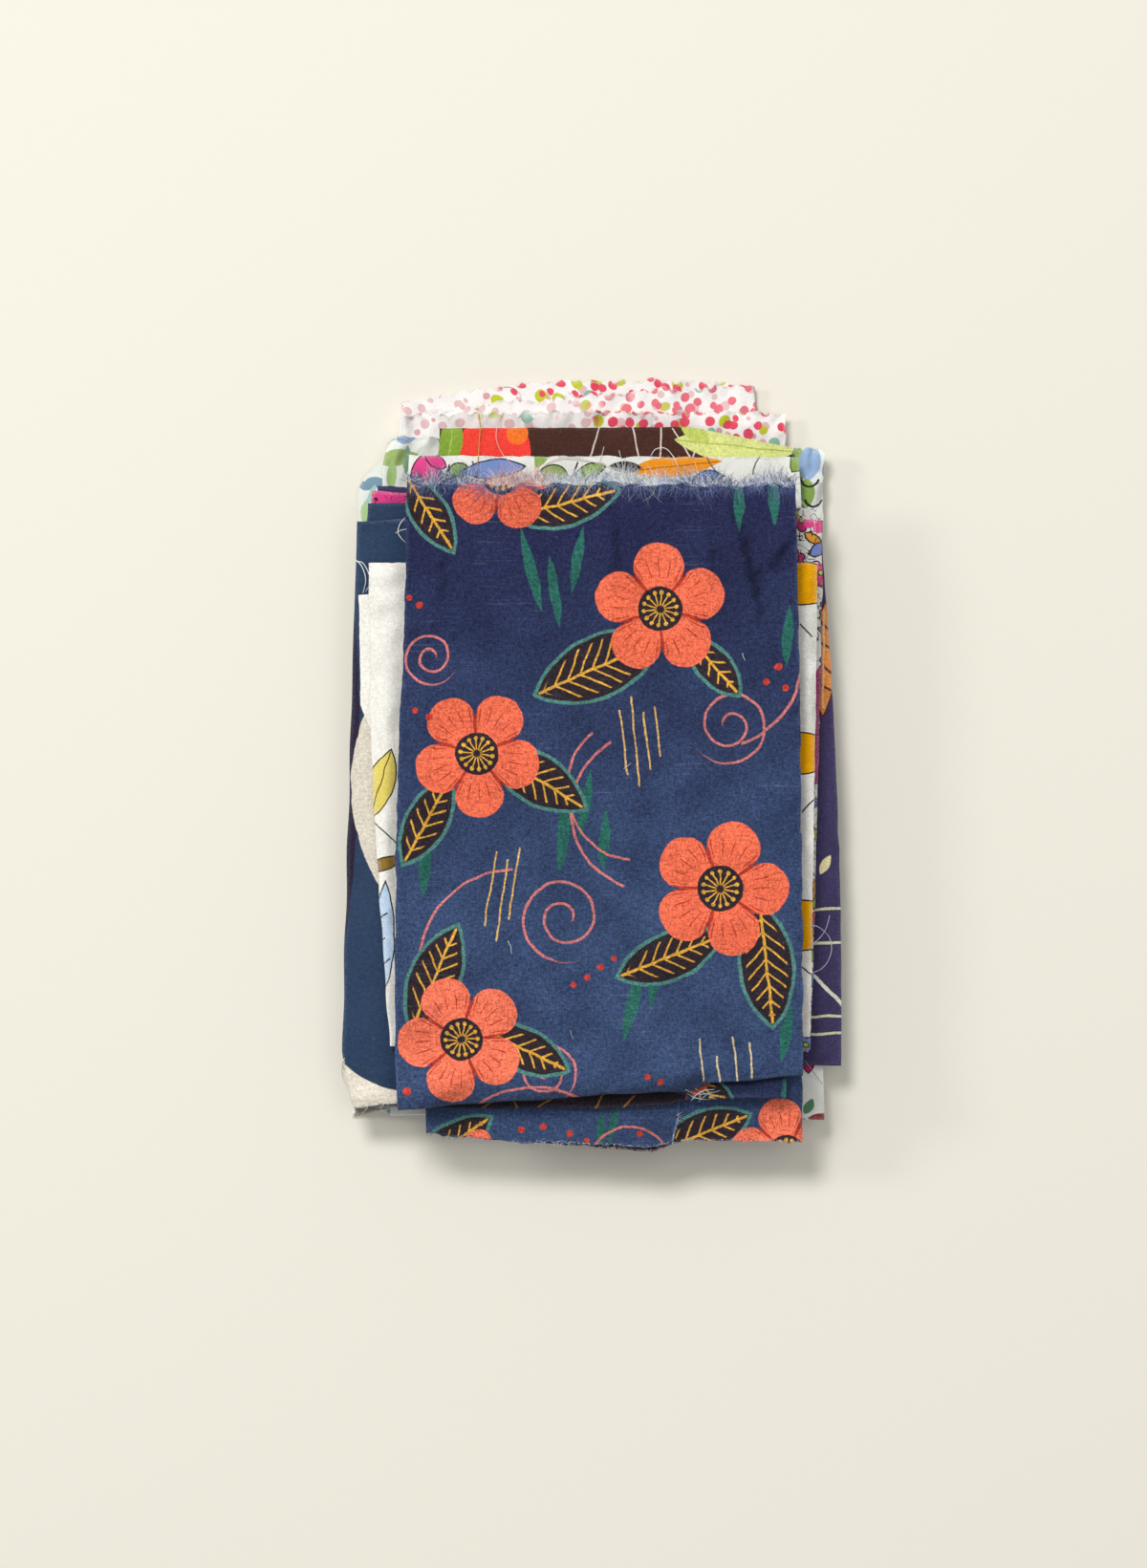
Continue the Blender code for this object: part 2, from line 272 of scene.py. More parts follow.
def waves(seed, wavelength, count=8):
    """Smooth uneven ups and downs over the plane, mostly between -1 and 1."""
    rng = np.random.default_rng(seed)
    turn = rng.uniform(0, 2 * np.pi, count)
    pace = 2 * np.pi / (wavelength * rng.uniform(0.7, 1.5, count))
    start = rng.uniform(0, 2 * np.pi, count)

    def value(x, y=0.0):
        total = 0.0
        for a, k, p in zip(turn, pace, start):
            total = total + np.sin(k * (x * math.cos(a) + y * math.sin(a)) + p)
        return total / math.sqrt(count)

    return value


# ---------------------------------------------------------------- how the pile lies

CELL = 1.5
GRID_X, GRID_Y = np.arange(-132.0, 132.1, CELL), np.arange(-192.0, 192.1, CELL)


def inside(outline, x, y):
    """Which of these places lie inside a closed outline."""
    found = np.zeros(np.broadcast(x, y).shape, bool)
    for (ax, ay), (bx, by) in zip(outline, outline[1:] + outline[:1]):
        crosses = (ay > y) != (by > y)
        with np.errstate(divide="ignore", invalid="ignore"):
            found ^= crosses & (x < (bx - ax) * (y - ay) / (by - ay + 1e-12) + ax)
    return found


def footprints():
    x, y = np.meshgrid(GRID_X, GRID_Y)
    found = {}
    for name, lines in LINES.items():
        mask = np.zeros(x.shape, bool)
        for (_, a, _, _), (_, b, _, _) in zip(lines, lines[1:]):
            mask |= inside(list(a) + list(b)[::-1], x, y)
        found[name] = mask
    return found


def blurred(mask, spread):
    reach = int(3 * spread / CELL)
    kernel = np.exp(-0.5 * (np.arange(-reach, reach + 1) * CELL / spread) ** 2)
    kernel /= kernel.sum()
    out = mask.astype(float)
    for axis in (0, 1):
        out = np.apply_along_axis(lambda row: np.convolve(row, kernel, "same"), axis, out)
    return out


def uncovered():
    """For each cloth, 0 where a cloth above covers it and 1 well clear of them."""
    prints, found = footprints(), {}
    above = np.zeros((len(GRID_Y), len(GRID_X)), bool)
    for name, *_ in reversed(CLOTHS):
        found[name] = np.clip(1.0 - 2.0 * blurred(above, 3.0), 0.0, 1.0)
        above = above | prints[name]
    return found


UNCOVERED = uncovered()


def sampled(field, x, y):
    i = np.clip((x - GRID_X[0]) / CELL, 0, len(GRID_X) - 1.001)
    j = np.clip((y - GRID_Y[0]) / CELL, 0, len(GRID_Y) - 1.001)
    i0, j0 = i.astype(int), j.astype(int)
    fi, fj = i - i0, j - j0
    low = field[j0, i0] * (1 - fi) + field[j0, i0 + 1] * fi
    high = field[j0 + 1, i0] * (1 - fi) + field[j0 + 1, i0 + 1] * fi
    return low * (1 - fj) + high * fj


PILE_WAVE = waves(5, 95.0)
FINE_WAVE = waves(6, 34.0)


def settle(name, p, lift):
    """Points of the flat pile moved to where they lie: sunk at the sides, a little uneven, and lifted where uncovered."""
    x, y, z = p[..., 0], p[..., 1], p[..., 2]
    move = np.zeros_like(z)
    for side, lowest, highest, start, end, drop in SAGS:
        low, high = LEVELS[lowest][0] - BETWEEN / 2, LEVELS[highest][1] + BETWEEN / 2
        share = np.clip((z - low) / (high - low), 0.0, 1.0)
        move -= drop * share * smooth(x if side in ("left", "right") else y, start, end)
    move += (z / PILE_TOP) * (0.55 * PILE_WAVE(x, y) + 0.14 * FINE_WAVE(x, y))
    low, high = LEVELS[name]
    seed = sum(map(ord, name))
    share = np.clip((z - low) / (high - low), 0.0, 1.0)
    rough = ROUGHER.get(name, 1.0)
    uneven = 0.60 + 0.26 * waves(seed, 30.0)(x, y) + rough * (0.20 * waves(seed + 1, 11.0)(x, y) + 0.12 * waves(seed + 2, 6.0)(x, y))
    move += lift * share * np.clip(uneven, 0.02, 1.5) * sampled(UNCOVERED[name], x, y)
    return np.stack([x, y, z + move], axis=-1)


def crease(name, x, y):
    total = np.zeros_like(x)
    for ax, ay, bx, by, width, height, *steep in CREASES.get(name, ()):
        dx, dy = bx - ax, by - ay
        if steep:  # narrower on the right of the way from the first point to the second
            width = np.where((x - ax) * dy - (y - ay) * dx > 0, width * steep[0], width)
        t = np.clip(((x - ax) * dx + (y - ay) * dy) / (dx * dx + dy * dy), 0.0, 1.0)
        away = np.hypot(x - ax - t * dx, y - ay - t * dy)
        total += height * np.exp(-((away / width) ** 2)) * (0.35 + 0.65 * np.sin(np.pi * np.clip(t, 0.04, 0.96)))
    return total


# ---------------------------------------------------------------- sheets


def spaced(count, dense):
    """0 to 1 with more steps near both ends."""
    s = np.linspace(0.0, 1.0, count)
    return (1 - dense) * s + dense * (0.5 - 0.5 * np.cos(np.pi * s))


def sheet_rows(name, run, per_layer, columns, ragged, scallop):
    """Rows of points (along, across, height), each with its flat place, its distance to the nearest raw edge and to the nearest fold."""
    seed = sum(map(ord, name))
    lines = []
    for kind, points, low_bow, high_bow in LINES[name]:
        p = np.array(points, float)
        lines.append((kind, p if run == "x" else p[:, ::-1], low_bow, high_bow))
    share = spaced(columns, 0.45)
    reach = PITCH / 2 + CLOTH / 2
    rows, flats = [], []
    arc, z = np.zeros(columns), LEVELS[name][1] - CLOTH / 2
    previous = None
    first_way = None
    fold_marks = []

    def row(along, across, height, layer):
        nonlocal arc, previous
        here = np.stack([along, across, np.broadcast_to(height, across.shape)], axis=1)
        if previous is not None:
            arc = arc + np.hypot(here[:, 0] - previous[:, 0], here[:, 2] - previous[:, 2])
        previous = here
        rows.append(here)
        flats.append(np.stack([arc, across, np.full(columns, float(layer))], axis=1))

    def line_place(k, line):
        kind, p = line[0], line[1]
        across = p[0, 1] + share * (p[-1, 1] - p[0, 1])
        along = np.interp(across, p[:, 1], p[:, 0])
        if kind == "cut":
            along = along + ragged * CUT_ENDS.get((name, k), 1.0) * (0.5 * waves(seed + 10 * k, 11.0)(across) + 0.35 * waves(seed + 10 * k + 1, 4.0)(across))
        else:
            along = along + 0.25 * waves(seed + 10 * k + 2, 28.0)(across)
        return along, across

    for k in range(len(lines) - 1):
        kind_a, kind_b = lines[k][0], lines[k + 1][0]
        along_a, across_a = line_place(k, lines[k])
        along_b, across_b = line_place(k + 1, lines[k + 1])
        way = 1.0 if along_b.mean() > along_a.mean() else -1.0
        first_way = first_way or (way, along_a.copy())
        start = along_a + way * (reach if kind_a == "fold" else 0.0)
        end = along_b - way * (reach if kind_b == "fold" else 0.0)
        count = TOP_ROWS if name == "navy_print_top" and k == 0 else per_layer
        stations = spaced(count, 0.55)
        if kind_a == "fold":
            stations = stations[1:]
        low_wave, high_wave = waves(seed + 50 + k, 14.0), waves(seed + 70 + k, 13.0)
        low_fine, high_fine = waves(seed + 90 + k, 4.5), waves(seed + 110 + k, 4.0)
        for t in stations:
            along = start + t * (end - start)
            across = across_a + t * (across_b - across_a)
            hump = 4 * t * (1 - t)
            place = along.mean()
            low_edge = -lines[k][2] * hump - np.interp(t, *SIDE_SHAPES.get((name, k), ([0.0], [0.0]))) + ragged * (0.4 * low_wave(place) + 0.2 * low_fine(place)) * hump**0.3
            high_edge = lines[k][3] * hump + ragged * (0.4 * high_wave(place) + 0.2 * high_fine(place)) * hump**0.3
            if scallop:
                high_edge += scallop * (abs(math.sin(place / 6.6 * math.pi + 1.3 * k + 0.8 * low_wave(place))) - 0.6) * hump**0.3
            across = across + low_edge * (1 - share) ** 5 + high_edge * share**5
            row(along, across, z, k)
        if kind_b == "fold":
            for step in range(1, FOLD_STEPS + 1):
                angle = math.pi * step / FOLD_STEPS
                if step == (FOLD_STEPS + 1) // 2:
                    fold_marks.append(arc.copy())
                row(end + math.sin(angle) * way * PITCH / 2, across_b, z - PITCH / 2 + math.cos(angle) * PITCH / 2, k + (0.5 if step < FOLD_STEPS else 1))
        z -= PITCH
    rows, flats = np.array(rows), np.array(flats)
    total = flats[-1, :, 0]
    way, start = first_way
    side = np.minimum(share, 1 - share)[None, :] * (rows[:, -1, 1] - rows[:, 0, 1])[:, None]
    edge = np.minimum(side, np.minimum(flats[..., 0], total - flats[..., 0]))
    fold = np.full(edge.shape, 99.0)
    for mark in fold_marks:
        fold = np.minimum(fold, np.abs(flats[..., 0] - mark))
    layer = flats[..., 2].copy()
    u = start + way * flats[..., 0]
    v = flats[..., 1]
    flat = np.stack([u, v, edge] if run == "x" else [v, u, edge], axis=-1)
    area = float((np.diff(flats[..., 0], axis=0)[:, :-1] * (rows[:-1, 1:, 1] - rows[:-1, :-1, 1])).sum())
    size = (float(np.max(rows[:, -1, 1] - rows[:, 0, 1])), float(total.max()))
    if run == "y":
        rows = rows[..., [1, 0, 2]]
    return rows, flat, fold, layer, area, size


def normals_of(p):
    along, across = np.gradient(p, axis=0), np.gradient(p, axis=1)
    n = np.cross(along, across)
    return n / np.maximum(np.linalg.norm(n, axis=-1, keepdims=True), 1e-9)


def painted_crease_shade(n):
    """Painted shade: 0 on open cloth to 1 on steep slopes of creases and rolls that face right or to the front, away
    from the key light.
    """
    return np.where(n[..., 2] > 0.05, np.clip(1.3 * (0.8 * n[..., 0] - 0.45 * n[..., 1]) - 0.12, 0.0, 1.0), 0.0)


def grid_faces(count, width):
    """Faces of a closed thin shell: an upper grid, an under grid and four rims."""
    i, j = np.meshgrid(np.arange(count - 1), np.arange(width - 1), indexing="ij")
    a = (i * width + j).ravel()
    upper = np.stack([a, a + width, a + width + 1, a + 1], axis=1)
    under = upper[:, ::-1] + count * width
    rims, n = [], count * width
    for k in range(width - 1):
        rims.append((k, k + 1, n + k + 1, n + k))
        b = (count - 1) * width + k
        rims.append((b + 1, b, n + b, n + b + 1))
    for k in range(count - 1):
        b = k * width
        rims.append((b + width, b, n + b, n + b + width))
        b = k * width + width - 1
        rims.append((b, b + width, n + b + width, n + b))
    return np.concatenate([upper, under, np.array(rims)])


def mesh_of(name, points, faces, smooth_shaded=True):
    """A mesh object in the frame's place from points in millimetres."""
    moved = (points - np.array([PILE_MIDDLE[0], PILE_MIDDLE[1], 0.0])) * MM
    mesh = bpy.data.meshes.new(name)
    mesh.vertices.add(len(moved))
    mesh.vertices.foreach_set("co", moved.astype(np.float32).ravel())
    size = faces.shape[1]
    mesh.loops.add(faces.size)
    mesh.loops.foreach_set("vertex_index", faces.astype(np.int32).ravel())
    mesh.polygons.add(len(faces))
    mesh.polygons.foreach_set("loop_start", np.arange(0, faces.size, size, dtype=np.int32))
    mesh.update(calc_edges=True)
    mesh.validate()
    if smooth_shaded:
        mesh.shade_smooth()
    obj = bpy.data.objects.new(name, mesh)
    bpy.context.scene.collection.objects.link(obj)
    return obj


def attribute(obj, name, kind, values):
    made = obj.data.attributes.new(name, kind, "POINT")
    made.data.foreach_set({"FLOAT_VECTOR": "vector", "FLOAT": "value", "FLOAT_COLOR": "color"}[kind], np.ascontiguousarray(values, np.float32).ravel())


SHEETS, MIDDLES = {}, {}
for name, run, per_layer, columns, lift, ragged, scallop in CLOTHS:
    rows, flat, fold, layer, area, size = sheet_rows(name, run, per_layer, columns, ragged, scallop)
    middle = settle(name, rows, lift)
    if name == "navy_print_top":
        x, y = rows[..., 0], rows[..., 1]
        top = np.clip(1.0 - layer * 2.0, 0.0, 1.0)
        unrest = 0.3 + crease(name, x, y) + 0.40 * waves(33, 44.0)(x, y) + 0.24 * waves(31, 17.0)(x, y) + 0.07 * waves(32, 6.0)(x, y)
        # Troughs end on the layer beneath.
        unrest = np.where(unrest < -0.05, -0.05 - 0.2 * np.tanh((-0.05 - unrest) / 0.2), unrest)
        middle[..., 2] += top * smooth(fold, 0.6, 9.0) * unrest
        depth = (PILE_TOP - CLOTH / 2 - rows[..., 2]) / PITCH
        # The two uppermost layers roll over at the front, fatter in some places than in others.
        front = LINES[name][1][1]
        behind = y - np.interp(x, [p[0] for p in front], [p[1] for p in front])
        roll = smooth(behind, 26.0, 5.0)
        right = smooth(x, 34.0, 50.0)
        fat = np.clip(1.0 + 0.26 * waves(41, 38.0)(x), 0.6, 1.3) * (1.0 - 0.8 * right)
        bent = 1.0 - (1.0 - np.sqrt(1.0 - np.clip((4.2 - behind) / 5.4, 0.0, 0.8) ** 2)) * np.interp(depth, [0.0, 0.6], [1.0, 0.6])
        middle[..., 2] += roll * fat * bent * np.interp(depth, [0.0, 1.0, 1.5], [5.0, 1.4, 0.0])
        middle[..., 2] += roll * right * np.interp(depth, [0.0, 1.0, 2.0, 3.0, 3.5], [0.8, 1.3, 1.2, 0.2, 0.0])
        # At the right the fold beneath them is rolled up like a tube.
        front = LINES[name][3][1]
        crown = np.interp(x, [p[0] for p in front], [p[1] for p in front]) + 3.4
        tube = np.where(y > crown, smooth(y, crown + 4.0, crown), np.sqrt(np.clip(1.0 - ((crown - y) / 3.6) ** 2, 0.0, 1.0)))
        middle[..., 2] += 2.4 * tube * smooth(x, 39.0, 47.0) * np.interp(depth, [1.4, 2.0, 2.9], [0.0, 1.0, 0.0])
        # Close under the roll the second fold lies in its shade, which is painted into its colour as painted shade, and
        # its print is placed by where it lies.
        second = (depth > 1.9) & (depth < 3.1) & (y < -120.0) & (x < 40.0)
        flat[..., 1] = np.where(second, y - 30.0, flat[..., 1])
        painted_roll_shade = np.where((depth > 1.2) & (behind > -9.0), smooth(behind, -5.0, -0.5) * smooth(depth, 4.2, 3.6), 0.0)
        # The lowest layer's print is placed by where its front strip lies.
        low = (layer > 3.9) & (y < -60.0)
        placed = smooth(y, -60.0, -125.0)
        flat[..., 1] = np.where(low, (1.0 - placed) * (flat[..., 1] + 3 * REPEAT) + placed * (y - 45.0), flat[..., 1])
    else:
        free = sampled(UNCOVERED[name], rows[..., 0], rows[..., 1])
        fine = np.clip(0.30 * waves(len(name), 9.0)(rows[..., 0], rows[..., 1]), -0.25, 0.4) + crease(name, rows[..., 0], rows[..., 1])
        middle[..., 2] += fine * free * (layer < 0.5) * smooth(fold, 0.3, 3.0)
    normal = normals_of(middle)
    if normal[2, columns // 2, 2] < 0:
        normal = -normal
    under, over = middle - normal * HALF, middle + normal * HALF
    faces = grid_faces(*middle.shape[:2])
    points = np.concatenate([over.reshape(-1, 3), under.reshape(-1, 3)])
    # The upper grid is turned so that it faces the way its normals point.
    a, b, c = points[faces[0][0]], points[faces[0][1]], points[faces[0][2]]
    if np.dot(np.cross(b - a, c - a), normal[0, 0]) < 0:
        faces = faces[:, ::-1]
    obj = mesh_of(name + "_sheet", points, faces)
    obj.data.set_sharp_from_angle(angle=math.radians(50))
    attribute(obj, "flat_mm", "FLOAT_VECTOR", np.concatenate([flat.reshape(-1, 3)] * 2))
    attribute(obj, "fold_mm", "FLOAT", np.concatenate([fold.ravel()] * 2))
    attribute(obj, "reverse", "FLOAT", np.repeat([0.0, 1.0], flat[..., 0].size))
    # Painted shade for the upper and the under side: steep slopes away from the key light, and the fold under the top
    # roll.
    attribute(obj, "painted_crease_shade", "FLOAT", np.concatenate([np.maximum(painted_crease_shade(way * normal), painted_roll_shade if name == "navy_print_top" else 0.0).ravel() for way in (1, -1)]))
    SHEETS[name] = {"obj": obj, "area": area * 1e-6, "flat": (size[0] * MM, size[1] * MM), "points": points, "faces": faces, "fray": []}
    MIDDLES[name] = middle

# ---------------------------------------------------------------- where a thread comes to lie

corners, quads, offset = [], [], 0
for s in SHEETS.values():
    corners.append(s["points"])
    quads.append(s["faces"] + offset)
    offset += len(s["points"])
SURFACE = BVHTree.FromPolygons(np.concatenate(corners).tolist(), np.concatenate(quads).tolist())


def surface(x, y, default=0.0):
    hit = SURFACE.ray_cast(Vector((x, y, 200.0)), Vector((0.0, 0.0, -1.0)))
    return hit[0].z if hit[0] is not None else default


def tubes(name, paths, radii, tints, sides=3, tip=0.35):
    """Thin closed threads joined in one mesh. paths is (threads, points, 3)."""
    paths = np.asarray(paths, float)
    n, k = paths.shape[:2]
    along = np.gradient(paths, axis=1)
    along /= np.maximum(np.linalg.norm(along, axis=-1, keepdims=True), 1e-9)
    aside = np.cross(along, np.array([0.02, 0.03, 1.0]))
    aside /= np.maximum(np.linalg.norm(aside, axis=-1, keepdims=True), 1e-9)
    upward = np.cross(aside, along)
    taper = np.interp(np.linspace(0, 1, k), [0, 0.6, 1.0], [1.0, 0.9, tip])
    thick = np.asarray(radii, float).reshape(-1, 1, 1) * taper[None, :, None]
    rings = []
    for s in range(sides):
        a = 2 * math.pi * s / sides
        rings.append(paths + (aside * math.cos(a) + upward * math.sin(a)) * thick)
    points = np.stack(rings, axis=2).reshape(-1, 3)  # thread, point, side
    base = np.arange(n)[:, None, None] * k * sides
    step = np.arange(k - 1)[None, :, None] * sides
    s = np.arange(sides)[None, None, :]
    t = (s + 1) % sides
    quads = np.stack(np.broadcast_arrays(base + step + s, base + step + t, base + step + sides + t, base + step + sides + s), axis=-1).reshape(-1, 4)
    tris = [quads[:, [0, 1, 2]], quads[:, [0, 2, 3]]]
    for m in range(1, sides - 1):
        first = np.arange(n) * k * sides
        last = first + (k - 1) * sides
        tris.append(np.stack([first, first + m + 1, first + m], axis=1))
        tris.append(np.stack([last, last + m, last + m + 1], axis=1))
    obj = mesh_of(name, points, np.concatenate(tris))
    colours = np.repeat(np.asarray(tints, float).reshape(n, 1, -1), k * sides, axis=1).reshape(-1, np.asarray(tints).shape[-1])
    attribute(obj, "tint", "FLOAT_COLOR", np.concatenate([colours, np.ones((len(colours), 1))], axis=1) if colours.shape[1] == 3 else colours)
    return obj


def lin(code):
    """A screen colour such as "3A4A73" as light."""
    out = []
    for i in (0, 2, 4):
        c = int(code[i : i + 2], 16) / 255.0
        out.append(c / 12.92 if c <= 0.04045 else ((c + 0.055) / 1.055) ** 2.4)
    return tuple(out)


def fray(name, cloth, root, outward, per_mm, length, spread, colours, seed, droop=1.2, radius=0.085, curl=0.5):
    """Thread ends that stand out of a raw edge. root: points along the edge. outward: the way out of it. colours: (from, to, colour, share) by distance along the edge."""
    rng = np.random.default_rng(seed)
    root = np.asarray(root, float)
    step = np.r_[0.0, np.cumsum(np.linalg.norm(np.diff(root, axis=0), axis=1))]
    n = int(step[-1] * per_mm)
    place = np.sort(rng.uniform(0, step[-1], n))
    base = np.stack([np.interp(place, step, root[:, c]) for c in range(3)], axis=1)
    out = np.asarray(outward, float) / np.linalg.norm(outward)
    side = np.cross([0, 0, 1.0], out)
    clump = waves(seed, 7.0)(place) * 0.5 + waves(seed + 1, 2.6)(place) * 0.35
    angle = rng.normal(0, 1, n) * spread + clump * spread
    long = rng.uniform(length[0], length[1], n) * (0.75 + 0.35 * waves(seed + 2, 16.0)(place))
    long = np.clip(long, 0.8, None)
    k = 5
    t = np.linspace(0, 1, k)[None, :]
    bend = rng.normal(0, 0.55, n)[:, None]
    turn = angle[:, None] + bend * t
    forward, sideways = np.cos(turn) * long[:, None] / (k - 1), np.sin(turn) * long[:, None] / (k - 1)
    forward[:, 0] = sideways[:, 0] = 0
    seen = np.array([abs(surface(*(b - out * 0.5)[:2]) - b[2]) < 0.9 for b in base])
    px = base[:, None, :] - out * 0.7 + np.cumsum(forward, axis=1)[..., None] * out + np.cumsum(sideways, axis=1)[..., None] * side
    rise = rng.normal(0.15, 0.25, n)[:, None] * long[:, None] * 0.25
    px[..., 2] += t * rise - droop * (t**2) * rng.uniform(0.3, 1.3, n)[:, None] * long[:, None] / 6.0
    px[..., 0] += curl * np.sin(3.0 * t + rng.uniform(0, 6.28, n)[:, None]) * t * side[0]
    px[..., 1] += curl * np.sin(3.0 * t + rng.uniform(0, 6.28, n)[:, None]) * t * side[1]
    for a in range(n):
        for b in range(1, k):
            floor = surface(px[a, b, 0], px[a, b, 1]) + 0.12
            px[a, b, 2] = max(px[a, b, 2], floor)
    tint = np.zeros((n, 3))
    pick = rng.uniform(0, 1, n)
    for i in range(n):
        options = [(c, w) for lo, hi, c, w in colours if lo <= place[i] <= hi]
        total = sum(w for _, w in options)
        run = 0.0
        for c, w in options:
            run += w / total
            if pick[i] <= run:
                break
        tint[i] = lin(c)
    tint *= rng.uniform(0.8, 1.2, (n, 1))
    if not seen.any():
        return
    thick = np.full(n, radius) * rng.uniform(0.7, 1.25, n)
    obj = tubes(name, px[seen], thick[seen], np.clip(tint, 0, 1)[seen])
    SHEETS[cloth]["fray"].append(obj)


# ---------------------------------------------------------------- raw edges

top_mid, under_mid = MIDDLES["navy_print_top"], MIDDLES["navy_print_under"]
BACK = [
    # from, to (millimetres along the edge), colour, share
    (0, 36, "4A5682", 3), (0, 36, "34406A", 2), (0, 36, "9FB0CF", 1.8), (0, 36, "E2E6EE", 1.2),
    (30, 66, "E29B8A", 3), (30, 66, "D9B7B2", 2), (30, 66, "F2E4DF", 1.6), (30, 66, "5A6390", 0.6),
    (60, 118, "C9D5E6", 2.8), (60, 118, "FAFCFD", 4.2), (60, 118, "7A8CB8", 1.2), (60, 118, "D9E4CC", 1.2), (60, 118, "3C4872", 0.6),
    (112, 170, "4A5682", 2.2), (112, 170, "34406A", 1.8), (112, 170, "B9C7E0", 2.4), (112, 170, "F4F6FA", 2.0), (112, 170, "5B8C85", 0.4),
]
fray("navy_top_back_fray", "navy_print_top", top_mid[0], (0, 1, 0), 14.0, (3.0, 10.0), 0.50, BACK, 11, radius=0.098, curl=1.9)
fray("navy_top_back_lint", "navy_print_top", top_mid[1], (0, 1, 0), 1.6, (6.0, 13.0), 0.75, [(0, 170, "C6D1E4", 2), (60, 120, "C9D8A8", 1.5), (0, 170, "F2F4F6", 3), (0, 170, "6D7FAE", 1)], 16, droop=0.4, radius=0.06, curl=2.6)
fray("navy_top_back_fuzz", "navy_print_top", top_mid[2], (0, -1, 0), 4.2, (2.0, 11.0), 0.34, [(0, 36, "6070A0", 1), (0, 170, "8FA0C8", 1), (60, 120, "B9C4DA", 1), (0, 170, "46548A", 3)], 12, droop=0.0, radius=0.05, curl=0.9)
FRONT = [(0, 40, "6E7FAC", 2), (0, 110, "2F3A5E", 2), (0, 110, "3C3440", 2), (36, 110, "E8ECF2", 2.4), (36, 110, "A8BEDD", 1.6)]
fray("navy_top_front_fray", "navy_print_top", top_mid[-1], (0, -1, 0), 4.0, (0.6, 2.6), 0.7, FRONT, 13, droop=0.6, radius=0.07)
side_line = top_mid[-40:, -1]
side_line = side_line[side_line[:, 1] < -141.0]
fray("navy_top_side_fray", "navy_print_top", side_line, (1, 0.1, 0), 8.0, (1.0, 3.8), 0.5, [(0, 99, "A9BAD8", 3), (0, 99, "6FA39B", 2), (0, 99, "E6EBF2", 2), (0, 99, "3A466F", 1)], 14, droop=0.8, radius=0.07)
fray("navy_under_front_fray", "navy_print_under", under_mid[0], (0, -1, 0), 3.0, (0.5, 1.8), 0.6, [(0, 160, "E58A72", 1), (0, 130, "6B5A60", 1.4), (0, 160, "E9DCD4", 1.2), (0, 130, "3A3340", 1)], 15, droop=0.5, radius=0.07)
for name, seed, colours in [
    ("dotted_print", 21, [(0, 999, "D9D6CF", 3), (0, 999, "B9B5AE", 2), (0, 999, "F2EFEA", 2)]),
    ("mint_leaf_print", 24, [(0, 999, "C6CCC2", 3), (0, 999, "A9AFA6", 1), (0, 999, "EEF0EA", 2)]),
]:
    mid, many = MIDDLES[name], {row[0]: row[2] for row in CLOTHS}[name]
    for layer_rows, tag in ((slice(2, many - 2), "a"), (slice(many + FOLD_STEPS + 2, 2 * many), "b")):
        fray(f"{name}_back_fray_{tag}", name, mid[layer_rows, -1], (0, 1, 0), 1.6, (0.5, 2.4), 0.6, colours, seed + ord(tag), droop=0.5, radius=0.07)
fray("patch_back_fray", "white_patch_print", MIDDLES["white_patch_print"][0], (0, 1, 0), 1.6, (0.4, 1.5), 0.7, [(0, 999, "E4E3DC", 3), (0, 999, "A3A39C", 1)], 31, droop=0.3, radius=0.07)
fray("blue_front_fray", "blue_cream_print", MIDDLES["blue_cream_print"][4:54, 0], (0, -1, 0), 3.0, (0.6, 2.6), 0.5, [(0, 999, "B9B2A2", 3), (0, 999, "8D8878", 2), (0, 999, "E6E0D2", 2)], 32, droop=0.6, radius=0.07)

# ---------------------------------------------------------------- loose threads

